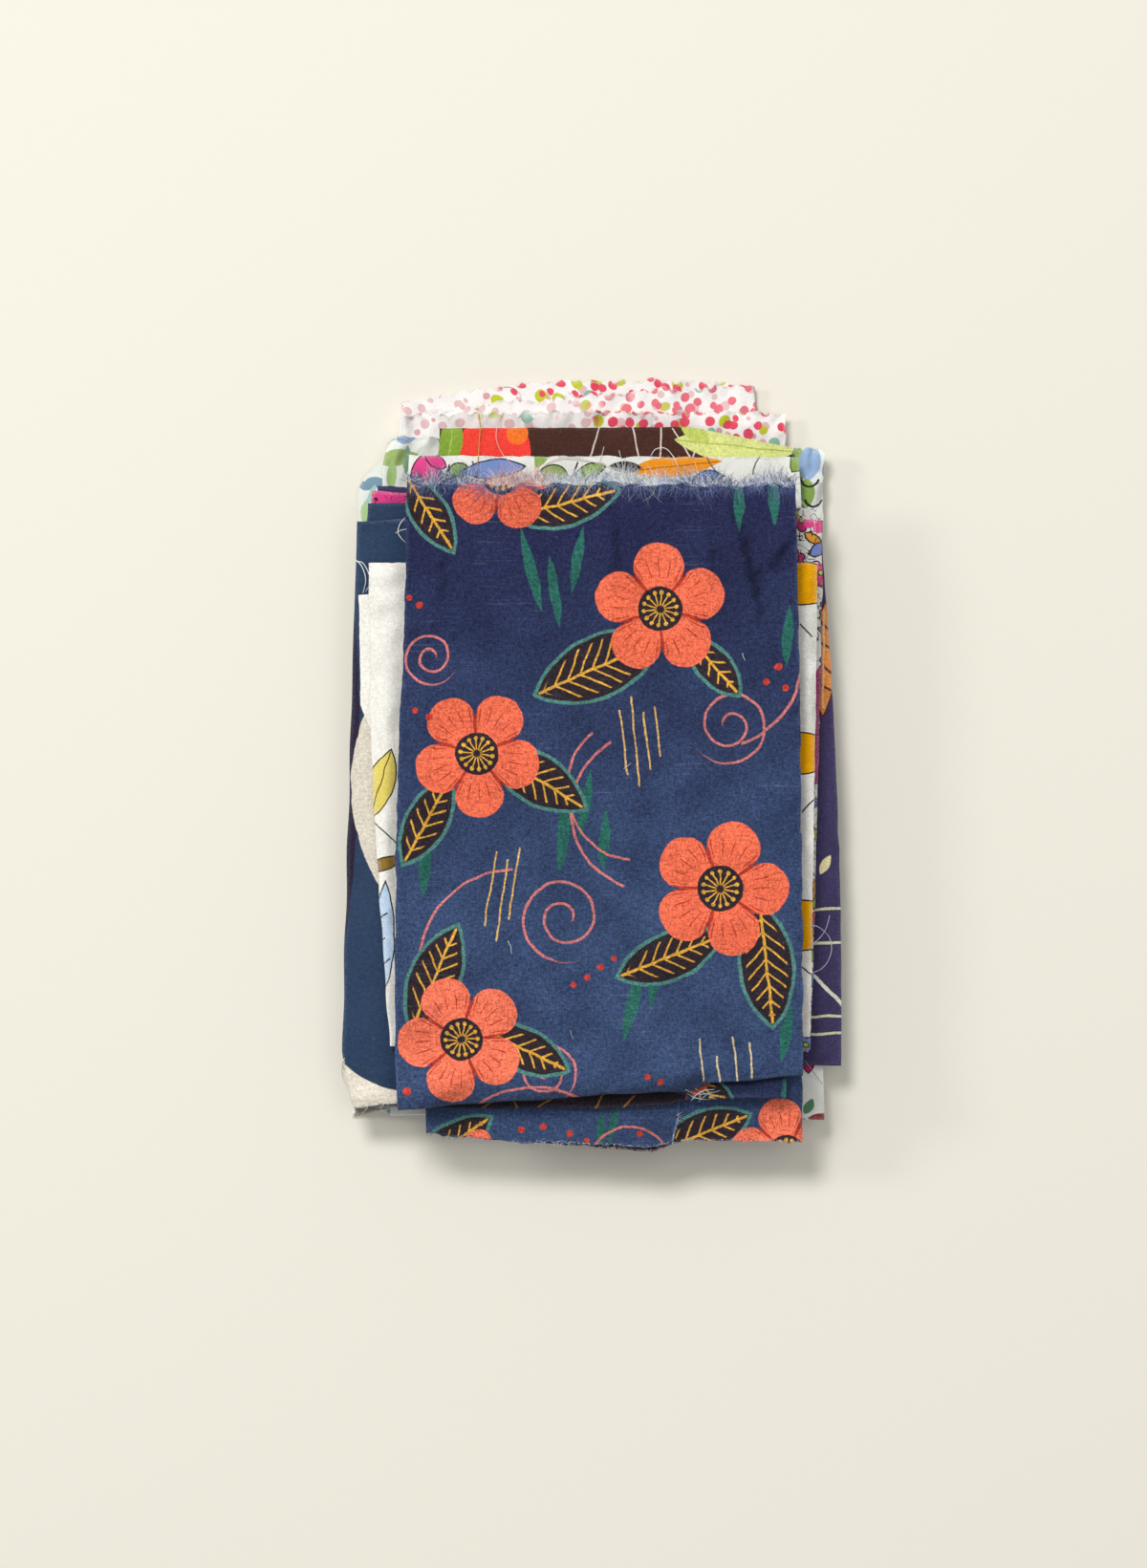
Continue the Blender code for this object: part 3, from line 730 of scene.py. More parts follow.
THREADS = [
    # cloth, colour, radius, rise, picture points that the thread passes over
    ("brown_red_print", "C99A45", 0.26, 0.3, [(500, 430), (502, 446), (501, 462), (500, 480), (498, 498)]),
    ("brown_red_print", "E9B6AE", 0.18, 0.3, [(526, 428), (521, 441), (519, 458), (527, 476), (541, 490), (556, 497)]),
    ("white_patch_print", "E8D6D2", 0.20, 1.2, [(560, 497), (570, 486), (585, 479), (604, 479), (624, 484), (644, 490), (668, 497)]),
    ("white_patch_print", "EFEFEA", 0.18, 2.5, [(681, 476), (686, 469), (696, 468), (704, 476), (709, 488), (709, 497)]),
    ("brown_red_print", "DDE0D6", 0.14, 0.4, [(632, 466), (630, 474), (627, 484), (624, 494), (622, 505)]),
    ("brown_red_print", "DDE0D6", 0.14, 0.4, [(648, 470), (650, 480), (653, 490), (657, 502)]),
    ("blue_cream_print", "EDEFF2", 0.20, 0.5, [(424, 543), (419, 550), (417, 558), (420, 564), (425, 569)]),
    ("blue_cream_print", "EDEFF2", 0.14, 0.3, [(415, 560), (420, 558), (427, 557)]),
    ("blue_cream_print", "EDEFF2", 0.20, 0.5, [(372, 586), (378, 592), (382, 601), (383, 610), (380, 622)]),
    ("blue_cream_print", "EDEFF2", 0.18, 0.5, [(373, 588), (380, 590), (386, 600), (389, 611), (383, 620)]),
    ("purple_line_print", "B9B3CC", 0.18, 0.5, [(868, 958), (864, 972), (855, 983), (846, 988)]),
    ("purple_line_print", "C7C2D6", 0.18, 0.6, [(845, 969), (853, 969), (861, 974), (868, 982), (870, 994), (866, 1006), (858, 1014), (847, 1018)]),
    ("white_patch_print", "F0F0EE", 0.18, 0.4, [(838, 1118), (844, 1123), (851, 1127), (858, 1132)]),
    ("white_patch_print", "8E9096", 0.12, 0.4, [(842, 1110), (848, 1118), (855, 1127), (861, 1135)]),
    ("navy_print_top", "E8EAF0", 0.12, 0.2, [(775, 686), (776, 690), (778, 694)]),
    ("navy_print_top", "E8EAF0", 0.12, 0.2, [(532, 984), (535, 990), (536, 998)]),
    ("navy_print_top", "D5D9E6", 0.12, 0.2, [(652, 806), (656, 803), (660, 800)]),
    ("navy_print_top", "C2C8DA", 0.10, 0.2, [(597, 1077), (598, 1082), (600, 1086)]),
    ("navy_print_top", "9CB4C9", 0.16, 0.8, [(716, 1138), (722, 1141), (731, 1143), (742, 1142), (752, 1139)]),
    ("navy_print_top", "C9D3D6", 0.16, 0.5, [(718, 1142), (724, 1146), (732, 1148), (741, 1149)]),
    ("navy_print_top", "8FB3B8", 0.14, 0.6, [(726, 1137), (733, 1141), (742, 1144), (749, 1149)]),
    ("navy_print_top", "DDE3E4", 0.14, 0.8, [(722, 1150), (728, 1143), (736, 1139), (746, 1138)]),
    ("navy_print_top", "A7BCC4", 0.12, 0.5, [(730, 1151), (736, 1145), (744, 1140)]),
    ("blue_cream_print", "D8D4C8", 0.14, 0.4, [(359, 1108), (356, 1118), (357, 1130), (363, 1140)]),
    ("blue_cream_print", "ECE8DC", 0.16, 0.4, [(361, 1107), (358, 1113), (360, 1120), (357, 1127)]),
    ("blue_cream_print", "E4DFD0", 0.13, 0.4, [(357, 1106), (361, 1111), (359, 1118), (363, 1125)]),
    ("blue_cream_print", "ECE8DC", 0.12, 0.3, [(366, 1150), (369, 1157), (373, 1163), (374, 1168)]),
    ("blue_cream_print", "ECE8DC", 0.12, 0.3, [(386, 1155), (384, 1160), (379, 1165)]),
    ("blue_cream_print", "E4DFD0", 0.12, 0.3, [(404, 1153), (400, 1158), (398, 1163)]),
    ("dotted_print", "B8A4A2", 0.12, 0.5, [(520, 405), (527, 401), (536, 402), (543, 408), (545, 414)]),
    ("mint_leaf_print", "C9CCC4", 0.14, 0.5, [(404, 462), (410, 458), (420, 457), (430, 461)]),
    ("white_flower_print", "EDEDEA", 0.14, 0.4, [(836, 520), (842, 528), (850, 541), (853, 556)]),
]


def through(points, count):
    """A smooth curve through these points."""
    p = np.array([points[0], *points, points[-1]], float)
    p[0], p[-1] = 2 * p[1] - p[2], 2 * p[-2] - p[-3]
    out = []
    spans = len(points) - 1
    for s in np.linspace(0, spans - 1e-6, count):
        i = int(s)
        t = s - i
        a, b, c, d = p[i : i + 4]
        out.append(0.5 * (2 * b + (c - a) * t + (2 * a - 5 * b + 4 * c - d) * t * t + (3 * b - a - 3 * c + d) * t**3))
    return np.array(out)


for cloth in {row[0] for row in THREADS}:
    mine = [row for row in THREADS if row[0] == cloth]
    paths, radii, tints = [], [], []
    for _, colour, radius, rise, points in mine:
        line = through([at(*p) for p in points], 26)
        z = np.array([surface(x, y) for x, y in line])
        far = np.r_[0.0, np.cumsum(np.hypot(*np.diff(line, axis=0).T))]
        held = np.max(z[None, :] - 1.6 * np.abs(far[None, :] - far[:, None]), axis=1)
        arch = rise * np.sin(np.pi * far / far[-1])
        paths.append(np.column_stack([line, held + radius + 0.05 + arch]))
        radii.append(radius)
        tints.append(lin(colour))
    obj = tubes(f"{cloth}_threads", paths, radii, tints, sides=6, tip=0.6)
    SHEETS[cloth]["fray"].append(obj)

# ---------------------------------------------------------------- nodes for the prints


class Net:
    """Short ways to add nodes to a tree. A value is a number, a tuple or another node's output."""

    def __init__(self, tree):
        self.tree = tree

    def add(self, kind, inputs=None, **settings):
        node = self.tree.nodes.new(kind)
        for key, value in settings.items():
            setattr(node, key, value)
        for key, value in (inputs or {}).items():
            self.put(node.inputs[key], value)
        return node

    def put(self, socket, value):
        if isinstance(value, bpy.types.NodeSocket):
            self.tree.links.new(value, socket)
        else:
            socket.default_value = value

    def m(self, op, a, b=0.0, c=0.0, clamp=False):
        return self.add("ShaderNodeMath", {0: a, 1: b, 2: c}, operation=op, use_clamp=clamp).outputs[0]

    def v(self, op, a, b=(0.0, 0.0, 0.0), scale=None):
        node = self.add("ShaderNodeVectorMath", {0: a, 1: b}, operation=op)
        if scale is not None:
            self.put(node.inputs["Scale"], scale)
        return node.outputs["Value" if op in ("LENGTH", "DISTANCE", "DOT_PRODUCT") else "Vector"]

    def mix(self, share, a, b):
        a, b = (x if isinstance(x, bpy.types.NodeSocket) else (*x, 1.0) for x in (a, b))
        return self.add("ShaderNodeMix", {0: share, 6: a, 7: b}, data_type="RGBA").outputs[2]

    def noise(self, vector, size, detail=2.0, roughness=0.5):
        """0 to 1, with lumps about this many millimetres across."""
        return self.add("ShaderNodeTexNoise", {"Vector": vector, "Scale": 1.0 / size, "Detail": detail, "Roughness": roughness}).outputs

    def ramp(self, value, low, high):
        return self.add("ShaderNodeMapRange", {"Value": value, "From Min": low, "From Max": high}, clamp=True).outputs[0]

    def inner(self, distance, soft=0.16):
        """1 where a distance is below nothing, with a soft edge."""
        return self.m("MULTIPLY_ADD", distance, -1.0 / soft, 0.5, clamp=True)

    def ring(self, distance, half_width, soft=0.16):
        return self.inner(self.m("SUBTRACT", self.m("ABSOLUTE", distance), half_width), soft)

    def local(self, p, x, y, turn=0.0, size=1.0):
        return self.add("ShaderNodeMapping", {"Vector": p, "Location": (x, y, 0.0), "Rotation": (0.0, 0.0, turn), "Scale": (size, size, 1.0)}, vector_type="TEXTURE").outputs[0]

    def disc(self, p, x, y, radius):
        return self.m("SUBTRACT", self.v("DISTANCE", p, (x, y, 0.0)), radius)

    def leaf(self, p, x, y, turn, half_length, half_width):
        """A pointed leaf along turn, and its own place."""
        radius = (half_length**2 + half_width**2) / (2 * half_width)
        q = self.local(p, x, y, turn)
        away = self.v("LENGTH", self.v("ADD", self.v("ABSOLUTE", q), (0.0, radius - half_width, 0.0)))
        return self.m("SUBTRACT", away, radius), q

    def stroke(self, p, ax, ay, bx, by, half_width):
        d = (bx - ax, by - ay)
        span = d[0] ** 2 + d[1] ** 2
        q = self.v("SUBTRACT", p, (ax, ay, 0.0))
        t = self.m("MULTIPLY", self.v("DOT_PRODUCT", q, (d[0] / span, d[1] / span, 0.0)), 1.0, clamp=True)
        near = self.v("SCALE", (d[0], d[1], 0.0), scale=t)
        return self.m("SUBTRACT", self.v("DISTANCE", q, near), half_width)

    def nearest(self, *distances):
        out = distances[0]
        for d in distances[1:]:
            out = self.m("MINIMUM", out, d)
        return out

    def scatter(self, p, spacing, randomness=0.8):
        """Places strewn this far apart: the place from the nearest one, and three random numbers of its own."""
        cell = self.add("ShaderNodeTexVoronoi", {"Vector": p, "Scale": 1.0 / spacing, "Randomness": randomness}, voronoi_dimensions="2D", feature="F1")
        colour = self.add("ShaderNodeSeparateColor", {0: cell.outputs["Color"]}).outputs
        return self.v("SUBTRACT", p, cell.outputs["Position"]), colour[0], colour[1], colour[2]

    def palette(self, value, stops):
        """One of several colours by a number from 0 to 1, and 0 in its second output where there is none."""
        node = self.add("ShaderNodeValToRGB", {0: value})
        node.color_ramp.interpolation = "CONSTANT"
        band = node.color_ramp.elements
        colours = [(*lin(code), 1.0) if code else (0.0, 0.0, 0.0, 0.0) for _, code in stops]
        band[0].position, band[0].color = 0.0, colours[0]
        band[1].position, band[1].color = stops[1][0], colours[1]
        for (place, _), colour in zip(stops[2:], colours[2:]):
            band.new(place).color = colour
        return node.outputs


def group(name, inputs, outputs, fill):
    """A node group: inputs and outputs are {name: kind}, and fill(net, inputs) returns the outputs in order."""
    tree = bpy.data.node_groups.new(name, "ShaderNodeTree")
    for label, kind in inputs.items():
        tree.interface.new_socket(label, in_out="INPUT", socket_type=kind)
    for label in outputs:
        tree.interface.new_socket(label, in_out="OUTPUT", socket_type="NodeSocketFloat")
    net = Net(tree)
    source, sink = tree.nodes.new("NodeGroupInput"), tree.nodes.new("NodeGroupOutput")
    for socket, value in zip(sink.inputs, fill(net, {k: source.outputs[k] for k in inputs})):
        net.put(socket, value)
    return tree


def blossom_parts(net, given):
    """A five-petalled flower of radius 1 at the origin: petals, petal gaps and veins, heart, stamens."""
    p, size = given["Vector"], given["Size"]
    xyz = net.add("ShaderNodeSeparateXYZ", {0: p}).outputs
    r = net.v("LENGTH", p)
    angle = net.m("ARCTAN2", xyz[1], xyz[0])
    lobe = net.m("ABSOLUTE", net.m("COSINE", net.m("MULTIPLY", angle, 2.5)))
    rim = net.m("MULTIPLY_ADD", net.m("POWER", lobe, 0.42), 0.52, 0.46)
    notch = net.m("MULTIPLY", net.m("ABSOLUTE", net.m("COSINE", net.m("MULTIPLY", angle, 5.0))), 0.0)
    edge = net.m("MULTIPLY", net.m("SUBTRACT", r, net.m("SUBTRACT", rim, notch)), size)
    petals = net.inner(edge, 0.3)
    vein = net.m("COSINE", net.m("MULTIPLY", angle, 25.0))
    vein = net.m("MULTIPLY", net.ramp(vein, 0.90, 0.99), net.m("MULTIPLY", net.ramp(r, 0.44, 0.50), net.ramp(r, 0.74, 0.68)))
    gap = net.m("MULTIPLY", net.ramp(lobe, 0.20, 0.10), petals)
    heart = net.inner(net.m("MULTIPLY", net.m("SUBTRACT", r, 0.33), size), 0.3)
    turns = net.m("MULTIPLY", angle, 14.0 / (2 * math.pi))
    off = net.m("SUBTRACT", net.m("FRACT", turns), 0.5)
    across = net.m("MULTIPLY", net.m("MULTIPLY", off, r), net.m("MULTIPLY", size, 2 * math.pi / 14.0))
    stalk = net.m("MULTIPLY", net.ring(across, 0.28), net.m("MULTIPLY", net.ramp(r, 0.05, 0.07), net.ramp(r, 0.26, 0.24)))
    far = net.m("MULTIPLY", net.m("SUBTRACT", r, 0.245), size)
    bead = net.inner(net.m("SUBTRACT", net.m("SQRT", net.m("ADD", net.m("MULTIPLY", far, far), net.m("MULTIPLY", across, across))), 0.85), 0.25)
    return petals, net.m("MAXIMUM", vein, gap), heart, net.m("MAXIMUM", stalk, bead)


BLOSSOM = group("blossom", {"Vector": "NodeSocketVector", "Size": "NodeSocketFloat"}, ("Petals", "Veins", "Heart", "Stamens"), blossom_parts)


def scroll_parts(net, given):
    """A tendril that winds in on itself, with radius 1."""
    p, size = given["Vector"], given["Size"]
    xyz = net.add("ShaderNodeSeparateXYZ", {0: p}).outputs
    r = net.v("LENGTH", p)
    angle = net.m("MULTIPLY", net.m("ARCTAN2", xyz[1], xyz[0]), 1.0 / (2 * math.pi))
    turn = net.m("SUBTRACT", net.m("MULTIPLY", r, 2.2), angle)
    off = net.m("MULTIPLY", net.m("SUBTRACT", net.m("FRACT", turn), 0.5), net.m("DIVIDE", size, 2.2))
    line = net.ring(off, given["Width"], 0.2)
    return (net.m("MULTIPLY", line, net.m("MULTIPLY", net.ramp(r, 0.16, 0.20), net.ramp(r, 1.0, 0.96))),)


SCROLL = group("scroll", {"Vector": "NodeSocketVector", "Size": "NodeSocketFloat", "Width": "NodeSocketFloat"}, ("Line",), scroll_parts)


class Print(Net):
    """The material of one cloth: a ground colour, what is printed on it, and the cloth itself."""

    def __init__(self, name, wobble=0.9):
        self.mat = bpy.data.materials.new(name)
        self.mat.use_nodes = True
        super().__init__(self.mat.node_tree)
        self.flat = self.add("ShaderNodeAttribute", attribute_name="flat_mm").outputs["Vector"]
        split = self.add("ShaderNodeSeparateXYZ", {0: self.flat}).outputs
        self.x, self.y, self.edge = split[0], split[1], split[2]
        self.fold = self.add("ShaderNodeAttribute", attribute_name="fold_mm").outputs["Fac"]
        self.back = self.add("ShaderNodeAttribute", attribute_name="reverse").outputs["Fac"]
        # Painted shade from the sheet: steep slopes away from the key light and the fold under the top roll.
        self.painted_shade = self.add("ShaderNodeAttribute", attribute_name="painted_crease_shade").outputs["Fac"]
        plane = self.v("MULTIPLY", self.flat, (1.0, 1.0, 0.0))
        self.plane = plane
        shake = self.noise(plane, 9.0, 3.0)[1]
        self.p = self.v("ADD", plane, self.v("SCALE", self.v("SUBTRACT", shake, (0.5, 0.5, 0.5)), scale=wobble * 2.0))
        self.p = self.v("MULTIPLY", self.p, (1.0, 1.0, 0.0))

    def paint(self, mask, colour):
        self.colour = self.mix(mask, self.colour, lin(colour) if isinstance(colour, str) else colour)

    def finish(self, ground="F2F0EA", mottle=0.10, faded=0.35, rough=0.88, worn="FFFFFF", reverse=0.45, shade=0.35):
        """Adds what the cloth does to its print: uneven ink, fuzz, weave, worn folds and edges, a paler reverse, and
        painted shade on steep slopes and under the top roll.
        """
        fine = self.noise(self.plane, 0.85, 2.0, 0.6)[0]
        warp = self.noise(self.v("MULTIPLY", self.plane, (1.0, 0.16, 0.0)), 0.55, 1.0)[0]
        weft = self.noise(self.v("MULTIPLY", self.plane, (0.16, 1.0, 0.0)), 0.55, 1.0)[0]
        broad = self.noise(self.plane, 24.0, 3.0)[0]
        slub = self.noise(self.plane, 1.7, 2.0, 0.6)[0]
        thread = self.m("ADD", self.m("MULTIPLY", self.m("ADD", warp, weft), 0.5), fine)
        value = self.m("MULTIPLY_ADD", self.m("SUBTRACT", thread, 1.0), 2.6 * mottle, 1.0)
        value = self.m("MULTIPLY", value, self.m("MULTIPLY_ADD", self.m("SUBTRACT", broad, 0.5), 1.6 * mottle, 1.0))
        value = self.m("MULTIPLY", value, self.m("MULTIPLY_ADD", self.m("SUBTRACT", slub, 0.5), 2.6 * mottle, 1.0))
        bright = self.v("SCALE", self.colour, scale=value)
        # Rubbed pale along folds and raw edges, where the fuzz stands up.
        rub = self.m("MAXIMUM", self.ramp(self.fold, 2.2, 0.3), self.m("MULTIPLY", self.ramp(self.edge, 1.6, 0.2), 1.0))
        rub = self.m("MULTIPLY", rub, self.ramp(fine, 0.35, 0.75))
        colour = self.mix(self.m("MULTIPLY", rub, faded), bright, lin(worn))
        colour = self.mix(self.m("MULTIPLY", self.back, reverse), colour, lin(ground))
        # Painted shade: the colour is darkened on steep slopes away from the key light and under the top roll.
        colour = self.v("SCALE", colour, scale=self.m("MULTIPLY_ADD", self.painted_shade, -shade, 1.0))
        k = 2 * math.pi / 0.46
        weave = self.m("MULTIPLY", self.m("SINE", self.m("MULTIPLY", self.x, k)), self.m("SINE", self.m("MULTIPLY", self.y, k)))
        height = self.m("ADD", self.m("MULTIPLY", weave, 0.35), self.m("ADD", self.m("MULTIPLY", thread, 0.9), self.m("MULTIPLY", self.noise(self.plane, 3.2, 2.0)[0], 0.9)))
        bump = self.add("ShaderNodeBump", {"Strength": 0.55, "Distance": 0.00022, "Height": height})
        roughness = self.m("MULTIPLY_ADD", self.m("SUBTRACT", fine, 0.5), 0.16, rough)
        shader = self.tree.nodes["Principled BSDF"]
        self.put(shader.inputs["Base Color"], colour)
        self.put(shader.inputs["Roughness"], roughness)
        self.put(shader.inputs["Normal"], bump.outputs[0])
        shader.inputs["Specular IOR Level"].default_value = 0.06
        shader.inputs["Sheen Weight"].default_value = 0.03
        shader.inputs["Sheen Roughness"].default_value = 0.6
        return self.mat

    def flower(self, x, y, radius, turn, petal, line, heart, stamen):
        q = self.local(self.p, x, y, turn, radius)
        got = self.add("ShaderNodeGroup", node_tree=BLOSSOM)
        self.put(got.inputs["Vector"], q)
        self.put(got.inputs["Size"], float(radius))
        for output, colour in zip(got.outputs, (petal, line, heart, stamen)):
            self.paint(output, colour)

    def tendril(self, x, y, radius, turn, colour, width=0.55, flip=False):
        q = self.local(self.p, x, y, turn, radius)
        if flip:
            q = self.v("MULTIPLY", q, (1.0, -1.0, 1.0))
        got = self.add("ShaderNodeGroup", node_tree=SCROLL)
        self.put(got.inputs["Vector"], q)
        self.put(got.inputs["Size"], float(radius))
        self.put(got.inputs["Width"], float(width))
        self.paint(got.outputs[0], colour)

    def arc(self, x, y, radius, start, end, colour, width=0.55):
        """Part of a circle between two angles in degrees, counted anticlockwise from the right."""
        middle, half = math.radians((start + end) / 2), math.radians(abs(end - start) / 2)
        q = self.local(self.p, x, y, middle)
        xyz = self.add("ShaderNodeSeparateXYZ", {0: q}).outputs
        away = self.m("ABSOLUTE", self.m("ARCTAN2", xyz[1], xyz[0]))
        line = self.ring(self.m("SUBTRACT", self.v("LENGTH", q), radius), width)
        self.paint(self.m("MULTIPLY", line, self.ramp(away, half + 0.01, half)), colour)

    def leaves(self, rows, colour, rib=None, outline=None):
        """rows: (x, y, turn in degrees, half length, half width)."""
        for x, y, turn, long, wide in rows:
            d, q = self.leaf(self.p, x, y, math.radians(turn), long, wide)
            self.paint(self.inner(d, 0.3), colour)
            if rib:
                across = self.add("ShaderNodeSeparateXYZ", {0: q}).outputs[1]
                self.paint(self.m("MULTIPLY", self.ring(across, 0.22), self.inner(self.m("ADD", d, 0.5), 0.3)), rib)
            if outline:
                self.paint(self.ring(d, 0.28), outline)

    def broad_leaf(self, x, y, turn, long, wide, fill, rim, vein):
        """A broad dark leaf with a rim, a midrib and slanting side veins."""
        d, q = self.leaf(self.p, x, y, math.radians(turn), long, wide)
        self.paint(self.inner(d, 0.3), rim)
        self.paint(self.inner(self.m("ADD", d, 1.5), 0.3), fill)
        xyz = self.add("ShaderNodeSeparateXYZ", {0: q}).outputs
        off = self.m("ABSOLUTE", xyz[1])
        slant = self.m("ADD", xyz[0], self.m("MULTIPLY", off, -0.95))
        row = self.m("SUBTRACT", self.m("FRACT", self.m("DIVIDE", slant, 5.6)), 0.5)
        side = self.m("MULTIPLY", self.ring(self.m("MULTIPLY", row, 4.0), 0.36, 0.25), self.inner(self.m("ADD", d, 3.4), 0.4))
        rib = self.m("MULTIPLY", self.ring(xyz[1], 0.55, 0.25), self.inner(self.m("ADD", d, 1.9), 0.3))
        self.paint(self.m("MAXIMUM", side, rib), vein)

    def strokes(self, rows, colour, half_width):
        d = self.nearest(*[self.stroke(self.p, *row, half_width) for row in rows])
        self.paint(self.inner(d, 0.2), colour)

    def dots(self, rows, colour):
        d = self.nearest(*[self.disc(self.p, *row) for row in rows])
        self.paint(self.inner(d, 0.3), colour)


# ---------------------------------------------------------------- the prints


def spot(px, py, *more):
    return (*at(px, py), *more)


def navy_print(name):
    n = Print(name)
    under = name.startswith("navy_print_under")
    wrapped = n.m("WRAP", n.add("ShaderNodeSeparateXYZ", {0: n.p}).outputs[1], 120.0, 120.0 - REPEAT)
    n.p = n.add("ShaderNodeCombineXYZ", {0: n.add("ShaderNodeSeparateXYZ", {0: n.p}).outputs[0], 1: wrapped}).outputs[0]
    shade = n.ramp(n.m("ADD", wrapped, n.m("MULTIPLY", n.noise(n.plane, 42.0, 3.0)[0], -90.0)), 60.0, -110.0)
    n.colour = n.mix(shade, lin("25284A"), lin("3A4C6F"))
    n.colour = n.mix(n.m("MULTIPLY", n.ramp(n.noise(n.plane, 16.0, 2.0)[0], 0.45, 0.75), 0.35), n.colour, lin("2A2C4E"))
    ink, rim, gold, coral, line, salmon, teal = "30272E", "50827B", "DDA53F", "EE6E4F", "B03A28", "CD7773", "2C655B"
    strip = -45.0  # the lowest layer's front strip has its print this far on
    # Slender teal blades, salmon tendrils and gold strokes lie under the leaves and flowers.
    n.leaves(
        [
            spot(556, 600, 104, 18, 2.4), spot(580, 622, 98, 15, 2.2), spot(604, 588, 80, 14, 2.2),
            spot(772, 530, 88, 12, 2.2), spot(822, 668, 86, 13, 2.4), spot(808, 524, 92, 12, 2.4),
            spot(590, 868, 84, 19, 2.6), spot(612, 842, 80, 15, 2.2), spot(632, 880, 86, 13, 2.2),
            spot(662, 1046, 76, 18, 2.6), spot(684, 1020, 84, 14, 2.2),
            spot(446, 900, 88, 16, 2.6), spot(820, 1080, 80, 12, 2.4),
            (4.0, -154.0 + strip, 86, 9, 1.8), (9.0, -150.0 + strip, 80, 8, 1.6),
        ],
        teal,
    )
    n.tendril(*spot(590, 960), 19.0, 0.4, salmon, 0.55)
    n.tendril(*spot(762, 760), 17.0, 2.2, salmon, 0.55, flip=True)
    if not under:
        n.tendril(*spot(452, 690), 12.0, 1.0, salmon, 0.5)
    n.tendril(*spot(572, 1120), 13.0, 3.6, salmon, 0.5, flip=True)
    n.arc(*spot(680, 850), 33.0, 120, 250, salmon, 0.55)
    n.arc(*spot(668, 826), 30.0, 130, 262, salmon, 0.5)
    n.arc(*spot(742, 690), 38.0, -70, 10, salmon, 0.55)
    n.arc(*spot(540, 1010), 40.0, 92, 175, salmon, 0.5)
    n.arc(*spot(560, 1235), 40.0, 40, 140, salmon, 0.5)
    n.arc(16.0, -168.0 + strip, 17.0, 20, 160, salmon, 0.5)
    n.strokes([(*at(648, 745), *at(656, 812)), (*at(660, 732), *at(668, 824)), (*at(672, 748), *at(680, 806)), (*at(684, 742), *at(690, 792))], "D9B068", 0.36)
    n.strokes([(*at(520, 892), *at(508, 968)), (*at(532, 900), *at(520, 984)), (*at(544, 888), *at(533, 962))], "D9B068", 0.36)
    n.strokes([(*at(730, 1086), *at(735, 1128)), (*at(748, 1104), *at(751, 1130)), (*at(765, 1084), *at(770, 1128)), (*at(782, 1090), *at(785, 1126))], "DCC79A", 0.36)
    n.broad_leaf(*spot(626, 700), 24, 30.0, 13.5, ink, rim, gold)
    n.broad_leaf(*spot(746, 700), -50, 17.0, 8.0, ink, rim, gold)
    n.broad_leaf(*spot(562, 816), -32, 25.0, 11.0, ink, rim, gold)
    n.broad_leaf(*spot(448, 860), 62, 22.0, 9.5, ink, rim, gold)
    n.broad_leaf(*spot(800, 1010), -84, 27.0, 12.0, ink, rim, gold)
    n.broad_leaf(*spot(700, 1000), 22, 25.0, 10.5, ink, rim, gold)
    n.broad_leaf(*spot(456, 1022), 66, 25.0, 11.0, ink, rim, gold)
    n.broad_leaf(*spot(548, 1096), -26, 22.0, 9.5, ink, rim, gold)
    n.broad_leaf(*spot(590, 530), 14, 25.0, 10.5, ink, rim, gold)
    n.broad_leaf(*spot(450, 540), -58, 21.0, 8.5, ink, rim, gold)
    n.broad_leaf(*spot(736, 1184), 22, 22.0, 10.0, ink, rim, gold)
    if not under:
        n.broad_leaf(-58.0, -158.0 + strip, 34, 21.0, 9.0, ink, rim, gold)
    n.flower(*spot(690, 640), 28.0, 0.35, coral, line, ink, gold)
    n.flower(*spot(500, 790), 27.0, 1.0, coral, line, ink, gold)
    n.flower(*spot(752, 930), 29.0, 0.0, coral, line, ink, gold)
    n.flower(*spot(484, 1086), 27.0, 0.7, "F4785A", line, ink, gold)
    n.flower(*spot(524, 500), 25.0, 0.2, "DC6549", line, ink, gold)
    n.flower(*spot(822, 1206), 24.0, 0.5, "F4785A", line, ink, gold)
    if not under:
        n.flower(-47.0, -167.0 + strip, 15.0, 0.3, "F4785A", line, ink, gold)
    n.dots([spot(436, 745, 1.2), spot(450, 752, 1.4), spot(430, 628, 1.2), spot(440, 636, 1.4), spot(812, 700, 1.6), spot(800, 716, 1.4), spot(820, 722, 1.3)], "C8402F")
    n.dots([spot(600, 1030, 1.3), spot(614, 1022, 1.3), spot(628, 1012, 1.3), spot(642, 1003, 1.2), spot(428, 1140, 1.7), spot(690, 1130, 1.3), spot(676, 1124, 1.2)], "C8402F")
    if under:
        n.leaves([(4.0, -160.0, 0, 44.0, 7.0)], ink)
    else:
        # Dark leaves with short gold veins along the second fold: print, laid broad and dark there so that it stands
        # also as painted shade under the top roll.
        n.leaves([(-14.0, -170.5, 2, 56.0, 9.5)], ink)
        n.strokes([(-46.0, -174.0, -40.0, -169.0), (-30.0, -175.0, -33.0, -168.0), (-22.0, -172.5, -16.0, -169.0), (1.0, -175.0, 5.0, -167.0), (12.0, -174.0, 18.0, -168.0)], "A8743A", 0.4)
    n.dots([(-29.0, -152.0 + strip, 1.3), (-20.0, -151.0 + strip, 1.4), (-9.0, -154.0 + strip, 1.4), (-2.0, -157.0 + strip, 1.2), (20.0, -154.0 + strip, 1.2)], "C8402F")
